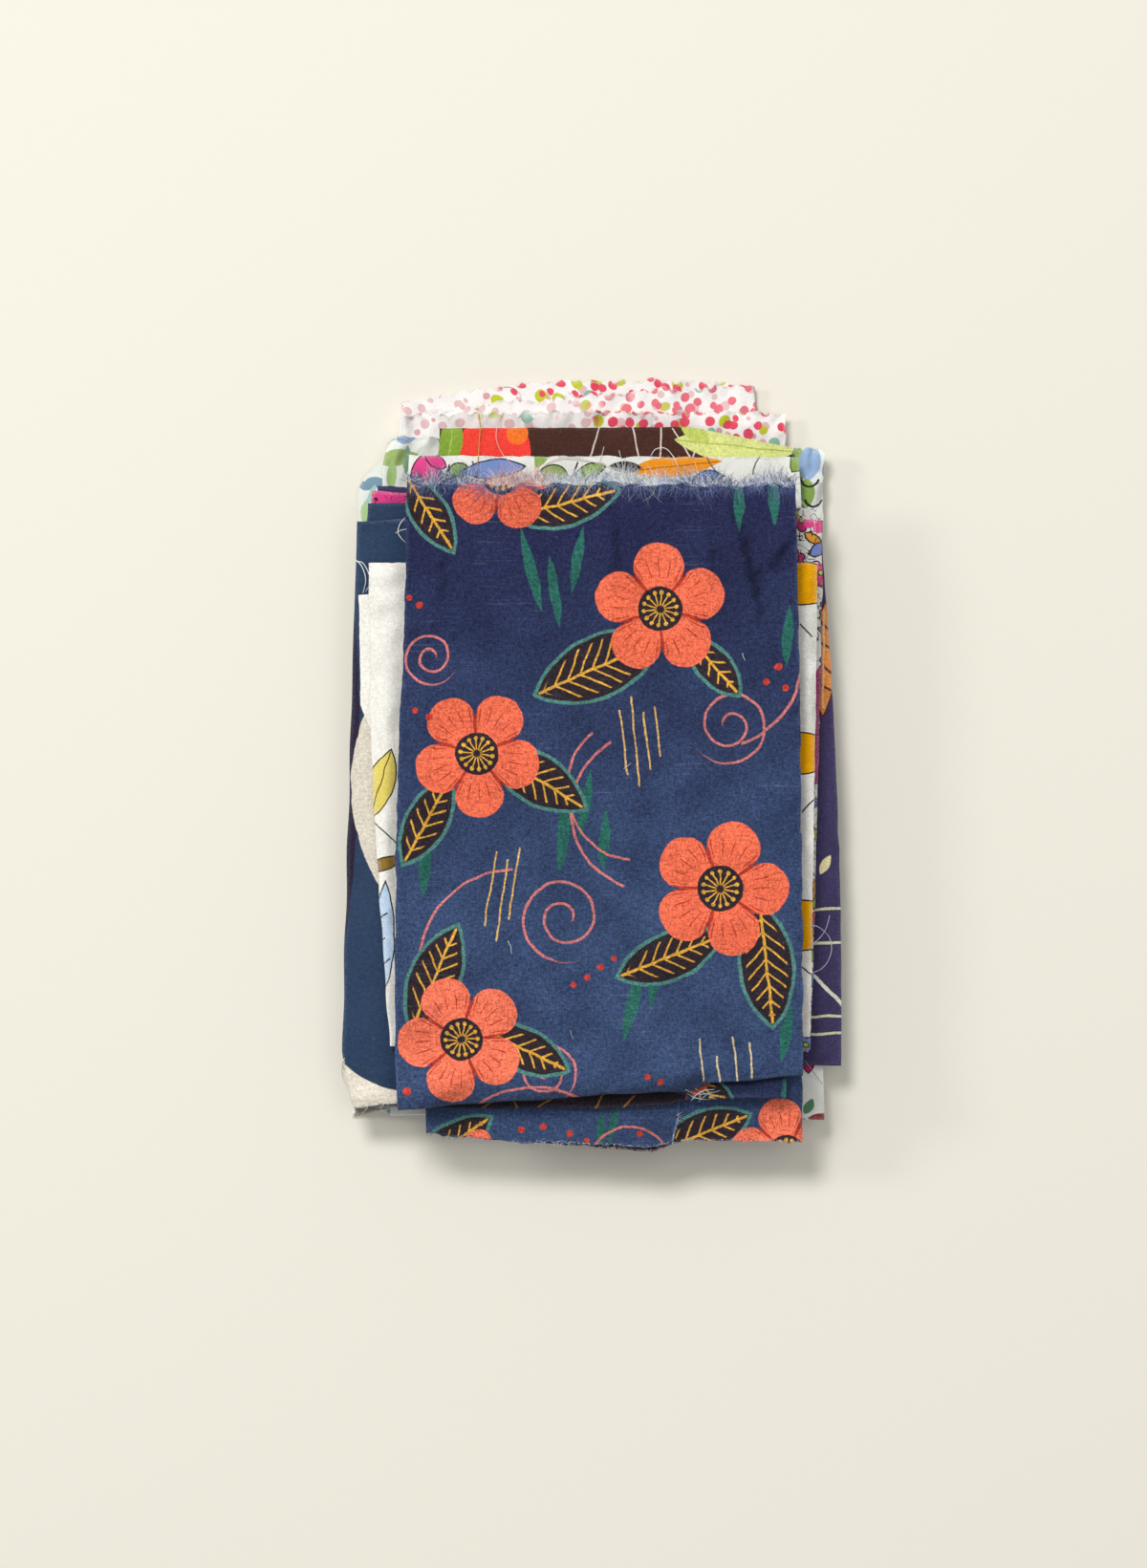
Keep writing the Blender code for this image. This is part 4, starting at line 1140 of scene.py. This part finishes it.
    # Pale rub marks along the weft, in a few bands, and lint.
    streak = n.noise(n.v("MULTIPLY", n.plane, (0.03, 1.0, 0.0)), 0.9, 1.0)[0]
    band = n.m("MULTIPLY", n.ramp(streak, 0.62, 0.72), n.ramp(n.noise(n.plane, 26.0, 1.0)[0], 0.50, 0.66))
    n.paint(n.m("MULTIPLY", band, 0.16), "8A96B4")
    lint = n.ramp(n.noise(n.plane, 0.7, 3.0, 0.7)[0], 0.60, 0.80)
    n.paint(n.m("MULTIPLY", lint, 0.34), "7A88AE")
    comb = n.ramp(n.noise(n.v("MULTIPLY", n.plane, (1.0, 0.12, 0.0)), 0.7, 2.0)[0], 0.42, 0.66)
    n.paint(n.m("MULTIPLY", n.m("MULTIPLY", comb, n.ramp(n.y, 110.0, 118.0)), 0.60), "7282AC")
    return n.finish("5A6382", mottle=0.50, faded=0.26, worn="7C89AE", shade=0.62)


def white_leaf_print(name):
    n = Print(name)
    n.colour = n.mix(n.ramp(n.noise(n.plane, 6.0, 4.0, 0.65)[0], 0.30, 0.70), lin("F6F5EE"), lin("E9E6DC"))
    n.leaves([spot(399, 822, 72, 15.5, 5.6)], "E3D069", rib="2B2724", outline="2B2724")
    n.leaves([spot(402, 985, 88, 25.0, 4.6)], "BDD3EA", outline="2B2724")
    n.leaves([spot(402, 905, 20, 9.0, 2.6)], "8F7130", outline="2B2724")
    for x, y, r in (spot(838, 612, 9.0), spot(836, 789, 8.6), spot(836, 968, 10.4)):
        q = n.v("MULTIPLY", n.v("SUBTRACT", n.p, (x, y, 0.0)), (0.62, 1.0, 0.0))
        d = n.m("SUBTRACT", n.v("LENGTH", q), r)
        n.paint(n.inner(d, 0.3), "F8AE08")
        n.paint(n.ring(d, 0.3), "2B2724")
    n.strokes([(*at(392, 860), *at(418, 885)), (*at(836, 655), *at(848, 668)), (*at(838, 850), *at(850, 838)), (*at(836, 1010), *at(848, 1020))], "2B2724", 0.3)
    n.strokes([(*at(399, 960), *at(406, 956)), (*at(398, 985), *at(404, 981)), (*at(403, 1008), *at(409, 1003))], "3B3A3C", 0.35)
    return n.finish("F4F3EE", mottle=0.14, faded=0.4, worn="FFFFFF")


def blue_cream_print(name):
    n = Print(name)
    n.colour = n.mix(n.noise(n.plane, 22.0)[0], lin("2C4261"), lin("324057"))
    n.leaves([spot(365, 800, 89, 74.0, 4.6)], "2D2438")
    n.paint(n.inner(n.disc(n.p, *spot(567, 822, 79.6)), 0.3), "D9D2C2")
    low = n.m("MAXIMUM", n.disc(n.p, *spot(420, 1210, 50.0)), n.m("MULTIPLY", n.disc(n.p, *spot(432, 1040, 40.5)), -1.0))
    n.paint(n.inner(low, 0.3), "EFE6D6")
    q, a, b, c = n.scatter(n.p, 95.0)
    n.paint(n.m("MULTIPLY", n.inner(n.m("SUBTRACT", n.v("LENGTH", q), 26.0), 0.3), n.ramp(n.x, -40.0, -30.0)), "D9D2C2")
    n.paint(n.ramp(n.y, -139.6, -140.2), "E2DACA")
    # The front ends of the layers beneath are painted darker, as painted shadow under the layer above.
    n.paint(n.m("MULTIPLY", n.ramp(n.y, -138.0, -138.6), n.ramp(n.x, -105.0, -106.0)), "8A8073")
    return n.finish("6A7B90", mottle=0.22, faded=0.25, worn="8E9CB4")


def strewn_flowers(n, spacing, petals, radius, stops, line, heart, width=0.32):
    q, a, b, c = n.scatter(n.p, spacing, 0.7)
    xyz = n.add("ShaderNodeSeparateXYZ", {0: q}).outputs
    angle = n.m("ADD", n.m("ARCTAN2", xyz[1], xyz[0]), n.m("MULTIPLY", c, 6.28))
    lobe = n.m("ABSOLUTE", n.m("COSINE", n.m("MULTIPLY", angle, petals / 2)))
    size = n.m("MULTIPLY_ADD", b, radius * 0.5, radius * 0.7)
    rim = n.m("MULTIPLY", size, n.m("MULTIPLY_ADD", n.m("POWER", lobe, 0.6), 0.5, 0.5))
    d = n.m("SUBTRACT", n.v("LENGTH", q), rim)
    fill, there = n.palette(a, stops)
    n.colour = n.mix(n.m("MULTIPLY", n.inner(d, 0.25), there), n.colour, fill)
    n.paint(n.m("MULTIPLY", n.ring(d, width, 0.25), there), line)
    n.paint(n.m("MULTIPLY", n.inner(n.m("SUBTRACT", n.v("LENGTH", q), radius * 0.24), 0.25), there), heart)
    n.paint(n.m("MULTIPLY", n.ring(n.m("SUBTRACT", n.v("LENGTH", q), radius * 0.24), width * 0.8, 0.25), there), line)


def strewn_leaves(n, spacing, long, wide, stops, line=None, seed=0.0):
    q, a, b, c = n.scatter(n.v("ADD", n.p, (seed, seed * 0.7, 0.0)), spacing, 0.85)
    turned = n.add("ShaderNodeVectorRotate", {"Vector": q, "Angle": n.m("MULTIPLY", c, 6.28)}, rotation_type="Z_AXIS").outputs[0]
    radius = (long**2 + wide**2) / (2 * wide)
    d = n.m("SUBTRACT", n.v("LENGTH", n.v("ADD", n.v("ABSOLUTE", turned), (0.0, radius - wide, 0.0))), radius)
    fill, there = n.palette(a, stops)
    n.colour = n.mix(n.m("MULTIPLY", n.inner(d, 0.25), there), n.colour, fill)
    if line:
        n.paint(n.m("MULTIPLY", n.ring(d, 0.3, 0.25), there), line)


def squiggles(n, size, width, colour, some=0.5):
    """Thin wandering lines."""
    wander = n.m("SUBTRACT", n.noise(n.plane, size, 0.0)[0], 0.5)
    mask = n.m("MULTIPLY", n.inner(n.m("SUBTRACT", n.m("ABSOLUTE", wander), width), 0.02), n.ramp(n.noise(n.v("ADD", n.plane, (71.0, 9.0, 0.0)), size * 1.7, 0.0)[0], some, some + 0.04))
    n.paint(mask, colour)


def white_flower_print(name):
    n = Print(name)
    n.colour = n.mix(n.noise(n.plane, 12.0)[0], lin("F4F2ED"), lin("ECEDE8"))
    squiggles(n, 3.6, 0.018, "2B2730", 0.40)
    strewn_leaves(n, 9.0, 4.6, 1.8, [(0.0, None), (0.30, "7E93CC"), (0.55, None), (0.70, "A9B93C"), (0.86, "E9A13A")], "2B2730", 13.0)
    strewn_flowers(n, 12.0, 5, 4.6, [(0.0, "E9508F"), (0.35, "C23A74"), (0.6, "8492CE"), (0.82, None), (0.9, "E79A3E")], "2B2230", "B7CB3A")
    n.paint(n.inner(n.stroke(n.p, *at(396, 522), *at(428, 520), 3.4), 0.3), "DD4286")
    n.paint(n.inner(n.stroke(n.p, *at(858, 705), *at(853, 815), 2.4), 0.3), "B4407A")
    squiggles(n, 2.6, 0.03, "2B2230", 0.52)
    n.leaves([spot(855, 575, 40, 4.0, 2.4)], "7E8FD0", outline="2B2230")
    n.dots([spot(852, 540, 2.6), spot(856, 552, 2.4), spot(846, 548, 2.2)], "E9508F")
    return n.finish("F1EFEA", mottle=0.05, faded=0.3)


def purple_line_print(name):
    n = Print(name)
    n.colour = n.mix(n.noise(n.plane, 20.0)[0], lin("40385A"), lin("484268"))
    n.strokes([(*at(838, 952), *at(884, 951)), (*at(838, 988), *at(884, 986)), (*at(838, 1064), *at(884, 1063)), (*at(838, 1082), *at(884, 1081))], "D8D6AE", 0.55)
    n.strokes([(*at(848, 1018), *at(882, 1052))], "E6E2D2", 0.75)
    n.leaves([spot(863, 905, 60, 4.6, 1.9)], "F0E3B0")
    n.leaves([spot(862, 690, 88, 24.0, 5.6)], "E2924A", outline="5B2A34")
    n.strokes([(*at(858, 650), *at(869, 660)), (*at(858, 672), *at(870, 680)), (*at(858, 694), *at(870, 704)), (*at(858, 716), *at(869, 722))], "6B3A34", 0.55)
    n.strokes([(*at(862, 640), *at(861, 740))], "EFC08A", 0.45)
    q, a, b, c = n.scatter(n.p, 34.0)
    n.paint(n.m("MULTIPLY", n.inner(n.m("SUBTRACT", n.v("LENGTH", q), 3.0), 0.3), n.ramp(n.x, 60.0, 50.0)), "E0C7A0")
    return n.finish("6A6484", mottle=0.24, faded=0.25, worn="8B86A6")


def white_patch_print(name):
    n = Print(name)
    n.colour = n.mix(n.noise(n.plane, 14.0)[0], lin("F5F4ED"), lin("EAECE4"))
    ink = "27222A"
    strewn_leaves(n, 26.0, 8.0, 3.2, [(0.0, None), (0.5, "EA4F93"), (0.62, "8FAF58"), (0.75, "7F97D2"), (0.9, None)], None, 140.0)
    n.leaves([spot(445, 494, 64, 9.5, 6.0), spot(456, 482, -30, 5.0, 2.6)], "EA4F93", outline=ink)
    n.strokes([(*at(470, 486), *at(466, 498)), (*at(494, 482), *at(500, 496)), (*at(604, 484), *at(600, 498))], ink, 0.35)
    n.leaves([spot(480, 491, 10, 4.4, 3.0)], "8FAF58", outline=ink)
    n.leaves([spot(516, 490, 4, 13.5, 4.0)], "7F97D2", outline=ink)
    n.leaves([spot(580, 494, -8, 6.0, 3.2), spot(618, 492, 20, 7.0, 3.0)], "93AC5A", outline=ink)
    n.leaves([spot(706, 487, 6, 20.0, 4.6)], "F39A1E", rib="B5651A")
    n.leaves([spot(655, 488, -4, 7.0, 2.6)], "2F2526")
    n.leaves([spot(742, 498, 0, 6.0, 2.6)], "5C7CC0", outline=ink)
    n.arc(*spot(770, 470), 12.0, 190, 250, "5A5A58", 0.28)
    n.arc(*spot(828, 500), 16.0, 120, 175, "5A5A58", 0.28)
    n.leaves([spot(838, 478, 60, 7.0, 3.6), spot(852, 505, 90, 6.0, 3.0)], "88A850", outline="4A5A3C")
    n.leaves([spot(846, 1110, 86, 5.4, 2.6)], "C3326C", outline=ink)
    n.leaves([spot(846, 1158, 60, 3.6, 2.0)], "5E8F68", outline=None)
    n.leaves([spot(858, 1169, 4, 5.0, 1.6)], "8E2F34")
    return n.finish("F0EFE8", mottle=0.05, faded=0.3)


def brown_red_print(name):
    n = Print(name)
    n.colour = n.mix(n.noise(n.plane, 18.0)[0], lin("482C26"), lin("50332C"))
    n.strokes([(*at(628, 446), *at(616, 480)), (*at(662, 446), *at(670, 482)), (*at(692, 446), *at(690, 482)), (*at(704, 447), *at(724, 478)), (*at(738, 450), *at(726, 476))], "DCCDC4", 0.32)
    n.paint(n.inner(n.disc(n.p, *spot(517, 468, 15.0)), 0.3), "F4473B")
    n.paint(n.inner(n.disc(n.p, *spot(541, 452, 4.6)), 0.3), "F5782E")
    n.leaves([spot(471, 462, 84, 15.0, 5.0)], "86A83E", rib="B4CB62")
    n.leaves([spot(770, 465, -6, 26.0, 7.4)], "DDE38E", rib="A9B54A")
    n.leaves([spot(728, 452, 150, 7.0, 3.0)], "C9D66A")
    q, a, b, c = n.scatter(n.p, 60.0)
    n.paint(n.m("MULTIPLY", n.inner(n.m("SUBTRACT", n.v("LENGTH", q), 13.0), 0.3), n.ramp(n.y, 100.0, 90.0)), "E9503E")
    return n.finish("8A726A", mottle=0.22, faded=0.15, worn="A08A80")


def mint_leaf_print(name):
    n = Print(name)
    n.colour = n.mix(n.noise(n.plane, 12.0)[0], lin("F3F5EE"), lin("E0E8E0"))
    strewn_leaves(n, 17.0, 9.0, 3.4, [(0.0, "9FB86E"), (0.25, "B9D3DA"), (0.5, "8FA9CC"), (0.78, None)], None, 0.0)
    strewn_leaves(n, 14.0, 6.0, 1.7, [(0.0, None), (0.25, "5F86A8"), (0.45, "C9DCCB"), (0.75, "8FB08C")], None, 31.0)
    # Where the lowest layer lies at the left.
    low = at(0.0, 0.0)[0] - 367.7
    n.leaves([(392 * POINT + low, at(0, 502)[1], 10, 5.0, 2.4), (380 * POINT + low, at(0, 505)[1], -20, 3.4, 2.0)], "7F9DB0")
    n.leaves([(380 * POINT + low, at(0, 532)[1], 82, 5.6, 2.1), (390 * POINT + low, at(0, 488)[1], 20, 4.4, 1.2)], "B5D69A")
    n.leaves([(386 * POINT + low, at(0, 515)[1], 60, 5.0, 1.3)], "A9CFCB")
    n.leaves([spot(409, 496, 86, 6.6, 2.1)], "A5C47E")
    n.leaves([spot(848, 482, 80, 8.0, 4.6)], "9DB9DC")
    n.leaves([spot(842, 516, 76, 7.0, 4.4)], "8FB158")
    n.arc(*spot(848, 498), 3.6, 180, 350, "2E2C2E", 0.45)
    n.arc(*spot(852, 520), 3.4, 190, 350, "2E2C2E", 0.45)
    return n.finish("EFF1EA", mottle=0.05, faded=0.3)


def dotted_print(name):
    n = Print(name)
    n.colour = n.mix(n.noise(n.plane, 14.0)[0], lin("FAF7F4"), lin("F5EEEB"))
    # The width that the cloth is folded to, so that every layer is alike from left to right.
    along = n.m("SUBTRACT", n.m("PINGPONG", n.m("ADD", n.x, 84.0), 160.0), 84.0)
    patchy = n.m("ADD", along, n.m("MULTIPLY", n.m("SUBTRACT", n.noise(n.plane, 17.0)[0], 0.5), 120.0))
    for spacing, low, high, stops, seed, side in [
        (7.5, 0.9, 2.2, [(0.0, "E3BDBE"), (0.70, None), (0.8, "DBA6AA")], 57.0, None),
        (8.6, 1.7, 3.1, [(0.0, "C3CA38"), (0.30, None), (0.60, "93BDA8"), (0.80, None)], 23.0, (-40.0, -28.0)),
        (5.4, 1.4, 2.2, [(0.0, "E9546A"), (0.60, None), (0.70, "E24A62"), (0.95, "C3CA38")], 0.0, (-14.0, 4.0)),
    ]:
        q, a, b, c = n.scatter(n.v("ADD", n.p, (seed, seed, 0.0)), spacing, 0.9)
        d = n.m("SUBTRACT", n.v("LENGTH", q), n.m("MULTIPLY_ADD", b, high - low, low))
        fill, there = n.palette(a, stops)
        mask = n.m("MULTIPLY", n.inner(d, 0.25), there)
        if side:
            mask = n.m("MULTIPLY", mask, n.ramp(patchy, side[0], side[1]))
        n.colour = n.mix(mask, n.colour, fill)
    return n.finish("F6F3F0", mottle=0.05, faded=0.3, reverse=0.12)


def thread_material():
    mat = bpy.data.materials.new("thread_ends")
    mat.use_nodes = True
    net = Net(mat.node_tree)
    tint = net.add("ShaderNodeAttribute", attribute_name="tint").outputs["Color"]
    spot_noise = net.noise(net.add("ShaderNodeTexCoord").outputs["Object"], 0.0006, 2.0)[0]
    value = net.m("MULTIPLY_ADD", net.m("SUBTRACT", spot_noise, 0.5), 0.5, 1.0)
    shader = mat.node_tree.nodes["Principled BSDF"]
    net.put(shader.inputs["Base Color"], net.v("SCALE", tint, scale=value))
    net.put(shader.inputs["Roughness"], net.m("MULTIPLY_ADD", spot_noise, 0.2, 0.7))
    shader.inputs["Specular IOR Level"].default_value = 0.2
    shader.inputs["Sheen Weight"].default_value = 0.3
    return mat


PRINTS = {
    "dotted_print": dotted_print,
    "mint_leaf_print": mint_leaf_print,
    "brown_red_print": brown_red_print,
    "white_patch_print": white_patch_print,
    "purple_line_print": purple_line_print,
    "white_flower_print": white_flower_print,
    "blue_cream_print": blue_cream_print,
    "white_leaf_print": white_leaf_print,
    "navy_print_under": navy_print,
    "navy_print_top": navy_print,
}
THREAD = thread_material()
for name, s in SHEETS.items():
    s["obj"].data.materials.append(PRINTS[name](name + "_cloth"))
    for piece in [s["obj"], *s["fray"]]:
        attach(piece, "root")
    for piece in s["fray"]:
        piece.data.materials.append(THREAD)
    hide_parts(name)
    print("SHEET", name, "flat %.3f x %.3f m, area %.4f m2, faces %d" % (*s["flat"], s["area"], len(s["faces"])))

# ---------------------------------------------------------------- floor, light and camera


def floor():
    mesh = bpy.data.meshes.new("floor")
    r = 6.0
    mesh.from_pydata([(-r, -r, 0), (r, -r, 0), (r, r, 0), (-r, r, 0)], [], [(0, 1, 2, 3)])
    obj = bpy.data.objects.new("floor", mesh)
    bpy.context.scene.collection.objects.link(obj)
    mat = bpy.data.materials.new("floor")
    mat.use_nodes = True
    net = Net(mat.node_tree)
    grain = net.noise(net.add("ShaderNodeTexCoord").outputs["Object"], 0.004, 2.0)[0]
    shader = mat.node_tree.nodes["Principled BSDF"]
    net.put(shader.inputs["Base Color"], net.mix(grain, lin("EAE6D9"), lin("EBE7DB")))
    shader.inputs["Roughness"].default_value = 0.95
    shader.inputs["Specular IOR Level"].default_value = 0.0
    mesh.materials.append(mat)


def area_light(name, place, aim, size, power, colour):
    data = bpy.data.lights.new(name, "AREA")
    data.shape, data.size, data.size_y, data.energy, data.color = "RECTANGLE", size[0], size[1], power, colour
    obj = bpy.data.objects.new(name, data)
    obj.location = place
    obj.rotation_euler = (Vector(aim) - Vector(place)).to_track_quat("-Z", "Y").to_euler()
    bpy.context.scene.collection.objects.link(obj)


floor()
area_light("key", (-0.95, 1.8, 3.3), (0, 0, 0), (1.1, 0.9), 86.0, (1.0, 0.992, 0.98))
area_light("graze", (-2.7, 0.9, 1.9), (0, 0, 0), (0.6, 0.6), 21.0, (1.0, 0.985, 0.965))
area_light("overhead", (0.5, 0.1, 3.4), (0, 0, 0), (2.2, 2.2), 28.0, (0.985, 0.99, 1.0))
world = bpy.data.worlds.new("studio")
world.use_nodes = True
world.node_tree.nodes["Background"].inputs["Color"].default_value = (1.0, 1.0, 1.0, 1.0)
world.node_tree.nodes["Background"].inputs["Strength"].default_value = 0.29
bpy.context.scene.world = world
bpy.context.scene.view_settings.view_transform = "Standard"
bpy.context.scene.view_settings.look = "None"

# The picture shows 480 by 656.4 millimetres, seen from almost straight above.
DISTANCE, ELEVATION = 2.6, 89.0
FIELD = 1641 * POINT * MM
camera = bpy.data.cameras.new("camera")
camera.sensor_fit = "AUTO"
camera.sensor_width = 36.0
camera.lens = 36.0 * DISTANCE / FIELD
eye = bpy.data.objects.new("camera", camera)
e = math.radians(ELEVATION)
aim = Vector(((600.0 - 618.5) * POINT * MM - PILE_MIDDLE[0] * MM, (800.0 - 820.5) * POINT * MM - PILE_MIDDLE[1] * MM, 0.02))
eye.location = aim + DISTANCE * Vector((0.0, -math.cos(e), math.sin(e)))
eye.rotation_euler = (math.radians(90.0 - ELEVATION), 0.0, 0.0)
bpy.context.scene.collection.objects.link(eye)
bpy.context.scene.camera = eye
